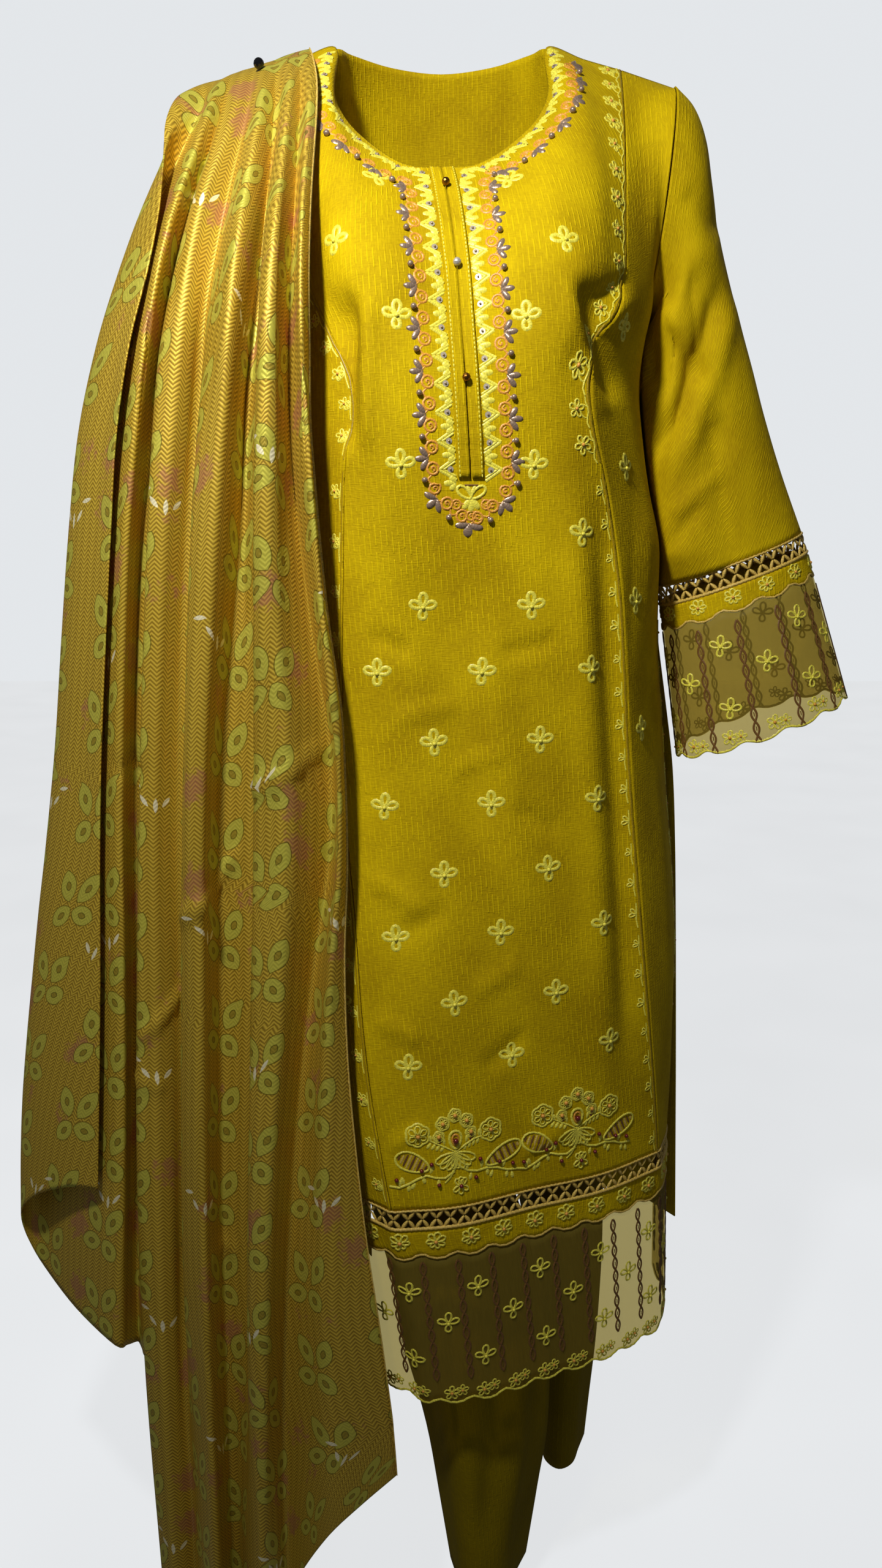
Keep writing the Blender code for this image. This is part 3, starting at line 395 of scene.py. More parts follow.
    def mesh(self, name):
        """The fine grid as a mesh, with its lengths in metres as its UV map."""
        rows, columns = self.points.shape[:2]
        bm = bmesh.new()
        bmesh.ops.create_grid(bm, x_segments=columns - 1, y_segments=rows - 1, size=0.5)
        mesh = bpy.data.meshes.new(name)
        bm.to_mesh(mesh)
        bm.free()
        flat = np.empty(len(mesh.vertices) * 3)
        mesh.vertices.foreach_get("co", flat)
        flat = flat.reshape(-1, 3)
        column = np.rint((flat[:, 0] + 0.5) * (columns - 1)).astype(int)
        row = np.rint((0.5 - flat[:, 1]) * (rows - 1)).astype(int)
        corner = np.empty(len(mesh.loops), dtype=int)
        mesh.loops.foreach_get("vertex_index", corner)
        lengths = np.stack((self.u[row, column], self.v[row, column]), axis=1)[corner]
        mesh.uv_layers.new(name="cloth").data.foreach_set("uv", lengths.ravel())
        mesh.vertices.foreach_set("co", self.points[row, column].ravel())
        mesh.update()
        bm = bmesh.new()
        bm.from_mesh(mesh)
        bm.verts.ensure_lookup_table()
        if self.missing:
            last_row = (self.full_rows - 1) * self.down
            first_column = self.missing * self.across
            bmesh.ops.delete(bm, context="VERTS", geom=[
                v for v in bm.verts if row[v.index] > last_row and column[v.index] < first_column])
        if self.slit:
            middle = (columns - 1) // 2
            end = self.slit * self.down
            cut = [e for e in bm.edges
                   if all(column[v.index] == middle and row[v.index] <= end for v in e.verts)]
            split = bmesh.ops.split_edges(bm, edges=cut)["edges"]
            for v in {v for e in split for v in e.verts if len(v.link_faces) < 3}:
                beside = sum((f.calc_center_median() for f in v.link_faces), Vector())
                v.co += (beside / len(v.link_faces) - v.co).normalized() * SLIT_HALF
        if self.closed:
            bmesh.ops.remove_doubles(bm, verts=bm.verts, dist=1e-6)
        bm.to_mesh(mesh)
        bm.free()
        mesh.shade_smooth()
        return mesh


@cache
def cloth(node):
    return Cloth(node)


# ---------------------------------------------------------------- needlework
# Each skein's place in a needlework piece's list of materials.
SKEINS = ("yellow", "peach", "mauve", "brown", "lace", "maroon", "sequin", "ground")


class Guide:
    """A line on a cloth that needlework follows: x runs along it, y to its left, z out."""

    def __init__(self, piece, points, snug=True, centred=False):
        self.piece, self.snug = piece, snug
        self.points, self.ways = [], []
        for point in points:
            spot, way = piece.near(point)
            self.points.append(spot if snug else point)
            self.ways.append(way)
        self.run = [0.0]
        for a, b in zip(self.points, self.points[1:]):
            self.run.append(self.run[-1] + (b - a).length)
        self.length = self.run[-1]
        if centred:
            self.run = [r - self.length / 2 for r in self.run]
        self.sides = []
        last = len(self.points) - 1
        for k, way in enumerate(self.ways):
            along = self.points[min(k + 1, last)] - self.points[max(k - 1, 0)]
            self.sides.append(way.cross(along).normalized())

    def carry(self, place):
        """Carry a flat place on to the cloth, or beside its border where it isn't snug."""
        last = len(self.run) - 2
        k = min(max(bisect_right(self.run, place.x) - 1, 0), last)
        t = (place.x - self.run[k]) / (self.run[k + 1] - self.run[k])
        side = self.sides[k].lerp(self.sides[k + 1], min(max(t, 0), 1))
        spot = self.points[k] + (self.points[k + 1] - self.points[k]) * t + side * place.y
        if self.snug:
            spot, way = self.piece.near(spot)
        else:
            way = self.ways[k].lerp(self.ways[k + 1], min(max(t, 0), 1))
        return spot + way * (self.piece.wall + place.z)


def spot_guide(piece, spot, upright=Vector((0, 0, 1))):
    """A short level guide through one spot, for a motif that stands by itself."""
    spot, way = piece.near(spot)
    along = upright.cross(way)
    if along.length < 1e-3:
        along = Vector((1, 0, 0))
    along = along.normalized() * 0.03
    return Guide(piece, [spot - along, spot, spot + along], centred=True)


def frontal(piece, line, step=0.004, face=-1):
    """Points on a cloth under a line of x and z, rounded at its corners."""
    for _ in range(2):
        cut = [line[0]]
        for a, b in zip(line, line[1:]):
            cut += [tuple(p + (q - p) * t for p, q in zip(a, b)) for t in (0.25, 0.75)]
        line = cut + [line[-1]]
    points = []
    for a, b in zip(line, line[1:]):
        count = max(1, round(math.dist(a, b) / step))
        points += [(a[0] + (b[0] - a[0]) * k / count, a[1] + (b[1] - a[1]) * k / count)
                   for k in range(count)]
    return [piece.facing(x, z, face) for x, z in points + [line[-1]]]


def polar(radius, turn, x=0.0, y=0.0):
    return x + radius * math.cos(turn), y + radius * math.sin(turn)


def straight(a, b, steps=2):
    """Points along a straight stitch from a to b."""
    return [tuple(p + (q - p) * k / steps for p, q in zip(a, b)) for k in range(steps + 1)]


class Needlework:
    """Stitches, beads and sequins, laid flat first and then carried on to the cloth. Sizes
    are in millimetres and turns in degrees."""

    def __init__(self):
        self.bm = bmesh.new()
        self.thread = self.bm.loops.layers.uv.new("thread")

    def paint(self, verts, skein):
        for face in {face for vert in verts for face in vert.link_faces}:
            face.material_index = SKEINS.index(skein)
            face.smooth = True

    def strand(self, skein, path, width, high, closed=False, ends=1.0, under=False, lift=0.0):
        """Satin stitch along a path, raised along its middle. ends is the share of its width
        left at its ends, and under adds a back where it crosses a hole."""
        path = [Vector(p) / 1000 for p in path]
        width, high, lift = width / 1000, high / 1000, lift / 1000
        if closed:
            path.append(path[0])
        last = len(path) - 1
        run = [0.0]
        for a, b in zip(path, path[1:]):
            run.append(run[-1] + (b - a).length)
        made = []
        for sign in ((1, -1) if under else (1,)):
            verts = bmesh.ops.create_grid(self.bm, x_segments=last, y_segments=2,
                                          size=0.5)["verts"]
            spot = {}
            for vert in verts:
                k, side = round((vert.co.x + 0.5) * last), round(vert.co.y * 2)
                before = path[k - 1] if k else path[last - 1] if closed else path[0]
                after = path[k + 1] if k < last else path[1] if closed else path[last]
                along = (after - before).normalized()
                full = 1.0 if closed else ends + (1 - ends) * math.sin(math.pi * k / last)
                aside = side * width * full / 2
                raised = (high * full if side == 0 else 0.0) * sign + lift
                vert.co = (path[k].x - along.y * aside, path[k].y + along.x * aside, raised)
                spot[vert] = (run[k], aside)
            for vert in verts:
                for loop in vert.link_loops:
                    loop[self.thread].uv = spot[vert]
            if sign < 0:
                bmesh.ops.reverse_faces(self.bm, faces=list({f for v in verts
                                                             for f in v.link_faces}))
            made += verts
        self.paint(made, skein)
        if closed or under:
            bmesh.ops.remove_doubles(self.bm, verts=made, dist=2e-6)

    def petal(self, skein, x, y, long, wide, turn, line=1.3, high=0.6, points=12, foot=0.0):
        """A hollow almond petal, outlined in satin stitch. Its foot stands out from x, y."""
        turn = math.radians(turn)
        path = []
        for k in range(points):
            a = 2 * math.pi * k / points
            p = foot + long / 2 * (1 - math.cos(a))
            q = wide / 2 * math.sin(a) * (1 - 0.25 * math.cos(a))
            path.append((x + p * math.cos(turn) - q * math.sin(turn),
                         y + p * math.sin(turn) + q * math.cos(turn)))
        self.strand(skein, path, line, high, closed=True)

    def drop(self, skein, x, y, long, wide, turn, high=0.9, ends=0.15):
        """A filled petal from its foot at x, y."""
        path = [polar(long * t, math.radians(turn), x, y) for t in (0, 0.2, 0.45, 0.7, 0.9, 1)]
        self.strand(skein, path, wide, high, ends=ends)

    def bead(self, skein, x, y, radius, high=0.0):
        verts = bmesh.ops.create_uvsphere(
            self.bm, u_segments=8, v_segments=5, radius=radius / 1000,
            matrix=Matrix.Translation(Vector((x, y, high + radius / 2)) / 1000))["verts"]
        self.paint(verts, skein)

    def sequin(self, skein, x, y, radius, high=0.6):
        verts = bmesh.ops.create_circle(
            self.bm, cap_ends=True, segments=9, radius=radius / 1000,
            matrix=Matrix.Translation(Vector((x, y, high)) / 1000))["verts"]
        self.paint(verts, skein)

    def mesh(self, name):
        """The finished flat motif."""
        mesh = bpy.data.meshes.new(name)
        self.bm.to_mesh(mesh)
        self.bm.free()
        return mesh

    def lay(self, motif, guide, x=0.0, y=0.0, turn=0.0, size=1.0):
        """Lay a copy of a motif at a place of a guide, carried on to the cloth."""
        copy = motif.copy()
        copy.transform(Matrix.Translation((x, y, 0)) @ Matrix.Rotation(turn, 4, "Z")
                       @ Matrix.Scale(size, 4))
        for vert in copy.vertices:
            vert.co = guide.carry(vert.co)
        self.bm.from_mesh(copy)
        bpy.data.meshes.remove(copy)

    def carried(self, guide):
        """Carry everything laid so far on to the cloth."""
        for vert in self.bm.verts:
            vert.co = guide.carry(vert.co)
        return self

    def sew(self, name):
        """Make the needlework one piece in its threads."""
        mesh = self.mesh(name)
        used = sorted({face.material_index for face in mesh.polygons})
        for face in mesh.polygons:
            face.material_index = used.index(face.material_index)
        for k in used:
            mesh.materials.append(thread(SKEINS[k] + "_needlework", SKEINS[k]))
        return place_piece(name, mesh)


# ---------------------------------------------------------------- materials
def add(material, kind, settings=None, links=None):
    """Add one node, with its settings by attribute or socket and its links by socket. A node
    given as a link's source stands for its first output."""
    tree = material.node_tree
    node = tree.nodes.new(kind)
    for key, value in (settings or {}).items():
        if isinstance(key, str) and hasattr(node, key):
            setattr(node, key, value)
        else:
            node.inputs[key].default_value = value
    for key, source in (links or {}).items():
        tree.links.new(getattr(source, "outputs", (source,))[0], node.inputs[key])
    return node


def material(surface):
    """Turn a function that builds a surface into one that makes the material of a name when it
    is first asked for."""
    def find(name, *settings):
        m = bpy.data.materials.get(name)
        if m is None:
            m = bpy.data.materials.new(name)
            m.use_nodes = True
            m.node_tree.nodes.clear()
            add(m, "ShaderNodeOutputMaterial", links={"Surface": surface(m, *settings)})
        return m
    return find


def paint(code):
    return (*linear(code), 1)


def hue(name):
    return (*getattr(bpy.context.scene.suit_colours, name), 1)


def darker(shade, share):
    return (*(share * c for c in shade[:3]), 1)


def fibres(m, flat, across, along, detail=1.0):
    """Uneven fibres on a flat map, so many to the metre across and along it."""
    place = add(m, "ShaderNodeMapping", {"Scale": (across, along, 1)}, {"Vector": flat})
    return add(m, "ShaderNodeTexNoise", {"Scale": 1.0, "Detail": detail}, {"Vector": place})


def two_tone(m, dark, light, share):
    """The colour of a material whose threads or grains vary between two shades."""
    return add(m, "ShaderNodeMix", {"data_type": "RGBA", 6: dark, 7: light},
               {"Factor": share}).outputs[2]


def coat(m, base, relief, bump, look):
    """A surface of a base colour whose relief has a strength and a depth in metres."""
    raised = add(m, "ShaderNodeBump", {"Strength": bump[0], "Distance": bump[1]},
                 {"Height": relief})
    return add(m, "ShaderNodeBsdfPrincipled", look, {"Base Color": base, "Normal": raised})


@material
def cambric(m, light, dark, crosswise=False):
    """Slub cambric: plain-woven cotton whose thick threads show as short raised ribs in rows,
    matt and with no shine."""
    flat = add(m, "ShaderNodeUVMap", {"uv_map": "cloth"})
    # Ribs stand 4.2 mm apart and run 20 mm, each column at its own height. Crosswise they
    # stand 3.6 mm apart.
    pitch, rib = (0.020, 0.0036) if crosswise else (0.0042, 0.020)
    counted = add(m, "ShaderNodeMapping", {"Scale": (1 / pitch, 1 / rib, 1)}, {"Vector": flat})
    parts = add(m, "ShaderNodeSeparateXYZ", links={"Vector": counted}).outputs
    aside, along = (parts[1], parts[0]) if crosswise else (parts[0], parts[1])
    nth = add(m, "ShaderNodeMath", {"operation": "FLOOR"}, {0: aside})
    start = add(m, "ShaderNodeTexWhiteNoise", {"noise_dimensions": "1D"}, {"W": nth})
    moved = add(m, "ShaderNodeMath", {"operation": "ADD"}, {0: along, 1: start})
    lengthwise = add(m, "ShaderNodeMath", {"operation": "PINGPONG", 1: 0.5}, {0: moved})
    across = add(m, "ShaderNodeMath", {"operation": "PINGPONG", 1: 0.5}, {0: aside})
    long_part = add(m, "ShaderNodeMapRange", {"From Min": 0.10, "From Max": 0.16},
                    {"Value": lengthwise})
    thin_part = add(m, "ShaderNodeMapRange", {"From Min": 0.34, "From Max": 0.44},
                    {"Value": across})
    # Rows of ribs fade in and out every 40 mm. Threads are 0.25 mm in the real cloth and
    # drawn 1 mm apart so that they show. Dye takes up unevenly over 60 mm.
    rows, warp, weft, dye = (fibres(m, flat, *field) for field in (
        (22, 26, 2), (1000, 160, 1), (160, 1000, 1), (16, 11, 3)))
    where = add(m, "ShaderNodeMapRange", {"From Min": 0.38, "From Max": 0.62, "To Min": 0.2},
                {"Value": rows})
    dash = add(m, "ShaderNodeMath", {"operation": "MULTIPLY"}, {0: long_part, 1: thin_part})
    ribs = add(m, "ShaderNodeMath", {"operation": "MULTIPLY"}, {0: dash, 1: where})
    weave = add(m, "ShaderNodeMath", {"operation": "ADD"}, {0: warp, 1: weft})
    height = add(m, "ShaderNodeMath", {"operation": "MULTIPLY_ADD", 1: 0.8},
                 {0: weave, 2: ribs})
    tone = add(m, "ShaderNodeMath", {"operation": "MULTIPLY_ADD", 1: 2.4}, {0: dye, 2: height})
    share = add(m, "ShaderNodeMapRange", {"From Min": 1.5, "From Max": 2.9}, {"Value": tone})
    return coat(m, two_tone(m, dark, light, share), height, (0.6, 0.0006),
                {"Roughness": 0.8, "Specular IOR Level": 0.08})


@material
def organza(m):
    """Organza: crisp sheer plain weave of fine filament, seen through, with a silky gleam."""
    flat = add(m, "ShaderNodeUVMap", {"uv_map": "cloth"})
    # Filaments are 0.2 mm apart in the real cloth and drawn 1.2 mm apart so that they show.
    threads = fibres(m, flat, 830, 60)
    tint = hue("organza")
    shader = coat(m, two_tone(m, darker(tint, 0.7), tint, threads), threads, (0.3, 0.0003),
                  {"Roughness": 0.5, "Specular IOR Level": 0.2, "Alpha": 0.7})
    # What is seen through the cloth takes on its yellow.
    through = add(m, "ShaderNodeBsdfTransparent", {"Color": paint("#EADFA8")})
    return add(m, "ShaderNodeMixShader", {0: 0.42}, {1: through, 2: shader})


def leaf_prints(pitch):
    """The satin's prints in the flat: cell width and height, the middle of the shape in its
    cell, its turn, its half length and half width in millimetres, and how far it covers the
    cloth with a colour from its middle outwards."""
    cell = (0.078, pitch)
    for place, turn, long, wide in (((-12, 17), 118, 16, 9.2), ((11, 15), 64, 15, 8.8),
                                    ((-15, -7), 186, 13, 9.2), ((8, -12), -52, 12, 9)):
        # A leaf, and the small dark eye in its middle.
        yield (cell, place, turn, long, wide,
               ((-99, "leaf", 0.9), (-0.8, "leaf_line", 0.8), (0.0, "leaf_line", 0)))
        yield (cell, place, turn, 4.6, 2.9,
               ((-99, "satin_dark", 0.7), (-0.8, "leaf_line", 0.9), (0.0, "leaf_line", 0)))
    for k in (-2, -1, 0, 1):
        yield ((0.101, 0.23), (38 + 9 * k, 56 + 4 * k * k), 90 - 38 * k, 6, 1.7,
               ((-99, "cream", 1), (0.0, "cream", 0)))


@material
def satin(m):
    """Herringbone satin: columns of slanting gold threads that turn at each column, printed
    with pairs of leaves, faint blossoms and cream strokes, and glossy on every fold."""
    sizes = bpy.context.scene.suit_sizes
    cloth_map = add(m, "ShaderNodeUVMap", {"uv_map": "cloth"})
    flat = add(m, "ShaderNodeSeparateXYZ", links={"Vector": cloth_map})
    zigzag = add(m, "ShaderNodeMath", {"operation": "PINGPONG", 1: sizes.herringbone},
                 {0: flat})
    slant = add(m, "ShaderNodeMath", {"operation": "ADD"}, {0: zigzag, 1: flat.outputs[1]})
    # Slanting threads are 0.5 mm apart in the real cloth and drawn 3.4 mm apart so that the
    # herringbone shows.
    turns = add(m, "ShaderNodeMath", {"operation": "MULTIPLY", 1: 2 * math.pi / 0.0034},
                {0: slant})
    threads = add(m, "ShaderNodeMath", {"operation": "SINE"}, {0: turns})
    # The tone that rises across one column and falls across the next is painted sheen, for the way
    # the turned threads catch the light. The same ramp also raises the columns' relief. The two
    # thread colours are the satin's own.
    column = add(m, "ShaderNodeMath", {"operation": "MULTIPLY", 1: 70.0}, {0: zigzag})
    height = add(m, "ShaderNodeMath", {"operation": "MULTIPLY_ADD", 1: 0.8},
                 {0: threads, 2: column})
    share = add(m, "ShaderNodeMapRange", {"From Min": -0.7, "From Max": 1.1}, {"Value": height})
    ground = two_tone(m, hue("satin_dark"), hue("satin"), share)
    # Faint blossoms lie scattered about 45 mm apart, with ragged edges.
    ragged = add(m, "ShaderNodeTexNoise", {"Scale": 160.0}, {"Vector": cloth_map})
    shaken = add(m, "ShaderNodeMix", {"data_type": "VECTOR", "Factor": 0.03},
                 {4: cloth_map, 5: ragged.outputs["Color"]})
    scattered = add(m, "ShaderNodeTexVoronoi", {"Scale": 19.0}, {"Vector": shaken.outputs[1]})
    faint = add(m, "ShaderNodeMapRange",
                {"From Min": 0.17, "From Max": 0.29, "To Min": 0.5, "To Max": 0.0},
                {"Value": scattered})
    ground = add(m, "ShaderNodeMix", {"data_type": "RGBA", 7: hue("blossom")},
                 {"Factor": faint, 6: ground}).outputs[2]
    for (wide, tall), (x, y), turn, half_long, half_wide, bands in leaf_prints(
            sizes.leaf_pitch):
        nth = add(m, "ShaderNodeMath", {"operation": "MULTIPLY", 1: 1 / wide}, {0: flat})
        whole = add(m, "ShaderNodeMath", {"operation": "FLOOR"}, {0: nth})
        drop = add(m, "ShaderNodeMath", {"operation": "MULTIPLY_ADD", 1: tall / 2},
                   {0: whole, 2: flat.outputs[1]})
        joined = add(m, "ShaderNodeCombineXYZ", links={0: flat, 1: drop})
        cell = add(m, "ShaderNodeVectorMath",
                   {"operation": "WRAP", 1: (wide, tall, 1), 2: (0, 0, -1)}, {0: joined})
        here = add(m, "ShaderNodeMapping",
                   {"vector_type": "TEXTURE",
                    "Location": (wide / 2 + x / 1000, tall / 2 + y / 1000, 0),
                    "Rotation": (0, 0, math.radians(turn)), "Scale": (0.001, 0.001, 1)},
                   {"Vector": cell})
        # An almond is what two round arcs have in common.
        radius = (half_long ** 2 + half_wide ** 2) / (2 * half_wide)
        arcs = [add(m, "ShaderNodeVectorMath",
                    {"operation": "DISTANCE", 1: (0, sign * (radius - half_wide), 0)},
                    {0: here}).outputs["Value"] for sign in (-1, 1)]
        far = add(m, "ShaderNodeMath", {"operation": "MAXIMUM"}, {0: arcs[0], 1: arcs[1]})
        place = add(m, "ShaderNodeMapRange", {"From Min": radius - 11, "From Max": radius + 1},
                    {"Value": far})
        ramp = add(m, "ShaderNodeValToRGB", links={"Fac": place})
        ramp.color_ramp.interpolation = "CONSTANT"
        stops = ramp.color_ramp.elements
        stops.remove(stops[1])
        for k, (start, shade, cover) in enumerate(bands):
            stop = stops[0] if k == 0 else stops.new(min(max((start + 11) / 12, 0), 1))
            stop.color = (*hue(shade)[:3], cover)
        ground = add(m, "ShaderNodeMix", {"data_type": "RGBA"},
                     {"Factor": ramp.outputs["Alpha"], 6: ground, 7: ramp}).outputs[2]
    return coat(m, ground, height, (0.16, 0.0008),
                {"Roughness": 0.5, "Specular IOR Level": 0.4, "Anisotropic": 0.4,
                 "Metallic": 0.4})


@material
def thread(m, skein):
    """Rayon satin stitch: thread lies beside thread across the line, glossy along each one.
    Beads and sequins are metal with small flats."""
    rough, metallic = {"mauve": (0.3, 0.45), "maroon": (0.25, 0.3), "sequin": (0.3, 0.4),
                       "brown": (0.5, 0.0), "lace": (0.5, 0.0)}.get(skein, (0.42, 0.0))
    shade = {"sequin": paint("#D8CCB4"), "ground": hue("cambric_shade")}.get(skein)
    shade = shade or hue(skein)
    flat = add(m, "ShaderNodeUVMap", {"uv_map": "thread"})
    # Embroidery thread is 0.4 mm thick and drawn 0.9 mm apart so that it shows.
    strands = fibres(m, flat, 1100, 260)
    share = add(m, "ShaderNodeMapRange", {"From Min": 0.35, "From Max": 0.6},
                {"Value": strands})
    return coat(m, two_tone(m, darker(shade, 0.62), shade, share), strands, (0.5, 0.0003),
                {"Roughness": rough, "Metallic": metallic})


@material
def metal(m, code, rough, metallic=1.0):
    """Cast antique metal, pearl lacquer or enamel: smooth, with a faint unevenness."""
    place = add(m, "ShaderNodeTexCoord").outputs["Object"]
    grain = add(m, "ShaderNodeTexNoise", {"Scale": 900.0, "Detail": 2.0}, {"Vector": place})
    shade = paint(code)
    return coat(m, two_tone(m, darker(shade, 0.5), shade, grain), grain, (0.25, 0.0003),
                {"Roughness": rough, "Metallic": metallic})


@material
def floor_paint(m):
    """Matt studio floor paint: pale and even."""
    place = add(m, "ShaderNodeTexCoord").outputs["Object"]
    mottle = add(m, "ShaderNodeTexNoise", {"Scale": 3.0}, {"Vector": place})
    glow = two_tone(m, paint("#DCDEE0"), paint("#E4E6E8"), mottle)
    return add(m, "ShaderNodeBsdfPrincipled",
               {"Base Color": paint("#7C7E80"), "Roughness": 0.8, "Emission Strength": 0.98},
               {"Emission Color": glow})


# ---------------------------------------------------------------- pieces
def place_piece(name, mesh, material=None):
    """Link a finished mesh as a piece that rides on the suit."""
    obj = bpy.data.objects.new(name, mesh)
    bpy.context.scene.collection.objects.link(obj)
    if material:
        mesh.materials.append(material)
    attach(obj, "root")
    return obj


def make_cloth(node, material):
    piece = cloth(node)
    for creases, face in CREASES.get(node, ()):
        piece.fold(creases, face)
    obj = place_piece(node + "_cloth", piece.mesh(node + "_cloth"), material)
    wall = obj.modifiers.new("wall", "SOLIDIFY")
    wall.thickness = piece.wall
    wall.offset = 1.0
    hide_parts(node)


# ---------------------------------------------------------------- motifs
def sprig_motif(size=1.0, line=2.9):
    """Four hollow petals: a tall one, two that lean out and a short round one below."""
    work = Needlework()
    for long, wide, turn in ((9.6, 5.2, 90), (9.0, 5.0, 20), (9.0, 5.0, 160), (7.2, 5.2, 270)):
        work.petal("yellow", 0, 0, long * size, wide * size, turn, line, 0.9, foot=1.2 * size)
    work.bead("yellow", 0, 0, 1.6 * size)
    return work.mesh("sprig")


def triangle_motif():
    """An open triangle that points away from the neck edge, a sequin in it, and three lobes."""
    work = Needlework()
    for a, b, line in (((-7.6, 6.4), (0, -6.2), 2.4), ((0, -6.2), (7.6, 6.4), 2.4),
                       ((-5.0, 6.0), (0, -2.8), 1.8), ((0, -2.8), (5.0, 6.0), 1.8)):
        work.strand("yellow", straight(a, b), line, 0.9)
    work.sequin("sequin", 0, 2.2, 2.3)
    work.bead("mauve", 0, 2.2, 0.9, 0.6)
    for turn, long in ((215, 6.4), (270, 8.6), (325, 6.4)):
        work.drop("yellow", 9.7, 5.4, long, 4.4, turn, 1.3, 0.4)
    return work.mesh("triangle")


def fan_motif():
    """Three drop petals that fan out from the band."""
    work = Needlework()
    for turn in (215, 270, 325):
        work.drop("mauve", 0, 0, 9.8, 4.6, turn, 2.0, 0.25)
    return work.mesh("fan")


def bud_motif():
    """A round peach bud with a curl of thread in it, and a hooked stem to the next one."""
    work = Needlework()
    work.strand("peach", [polar(4.3, math.pi * k / 5) for k in range(10)], 1.9, 1.0,
                closed=True)
    work.strand("peach", [polar(2.3 * (1 - k / 8), k) for k in range(7)], 1.8, 1.0, ends=0.6)
    work.strand("peach", [(4.4, -1), (6.6, -3.6), (8.6, -3.8), (10.6, -1.6)], 1.7, 0.8,
                ends=0.6)
    return work.mesh("bud")


def flower_motif(long=5.8, line=1.6):
    """A small flower of five hollow petals round a knot."""
    work = Needlework()
    for k in range(5):
        work.petal("yellow", 0, 0, long, 3.6, 90 + 72 * k, line, 0.8, 8, foot=1.0)
    work.bead("peach", 0, 0, 1.4)
    return work.mesh("flower")


def wave_motif():
    """One wave of the seam's border: a hooked line that curls off to its flower."""
    work = Needlework()
    work.strand("yellow", [(-12.2, 0), (-8, 1.4), (-4, 0.4), (0, -1.2), (4, -1.4), (8, 0.2),
                           (12.2, 0)], 1.3, 0.6)
    for curl in ([(-4, 0.4), (-3.5, 3), (-1, 5.2), (2.2, 6.2)], [(4, -1), (6.2, 2), (5.6, 4.4)]):
        work.strand("yellow", curl, 1.4, 0.6, ends=0.5)
    return work.mesh("wave")


def leaf_pair_motif():
    """Two short leaves and the stem between them, for the plain lower half of a border."""
    work = Needlework()
    work.strand("yellow", [(-10, 0), (-3, 0.8), (4, 0), (10, 0)], 1.1, 0.5)
    for turn in (40, 100):
        work.petal("yellow", 1, 0.8, 5.6, 2.6, turn, 1.2, points=8)
    return work.mesh("leaf_pair")


def band_flower_motif():
    """A spread flower for the scalloped bands: hollow petals, short leaves and a stem."""
    work = Needlework()
    for turn, long, wide in ((90, 6.4, 4.2), (38, 6.6, 3.8), (142, 6.6, 3.8), (-12, 6, 3),
                             (192, 6, 3), (-60, 4.6, 2.8), (240, 4.6, 2.8)):
        work.petal("yellow", 0, 0, long, wide, turn, 1.5, 0.9, 8, foot=0.8)
    work.bead("peach", 0, 0, 1.4)
    return work.mesh("band_flower")


def blossom(work, x, y, radius, lobes=6):
    """A round blossom with a lobed rim, an inner ring and a few stamens."""
    rim = []
    for k in range(lobes * 4):
        a = 2 * math.pi * k / (lobes * 4)
        rim.append(polar(radius * (0.88 + 0.14 * abs(math.sin(lobes * a / 2))), a, x, y))
    work.strand("yellow", rim, 1.9, 0.9, closed=True)
    for k in range(lobes):
        work.petal("yellow", x, y, radius * 0.6, radius * 0.42, 360 * (k + 0.5) / lobes, 1.3,
                   0.8, 7, foot=radius * 0.2)
    work.bead("peach", x, y, 1.7)


def hatched_leaf(work, x, y, long, wide, turn):
    """An almond leaf filled with upright bars of brown and beige thread, 3 mm apart."""
    work.petal("yellow", x, y, long, wide, turn, 1.9, 1.0, 18)
    turn = math.radians(turn)
    bars = max(3, round(long / 3))
    for k in range(1, bars):
        middle = polar(long * k / bars, turn, x, y)
        half = wide * 0.42 * math.sin(math.pi * k / bars)
        foot, tip = (polar(q, turn + math.pi / 2, *middle) for q in (-half, half))
        work.strand("brown" if k % 2 else "lace", straight(foot, tip), 2.2, 0.6, ends=0.7)


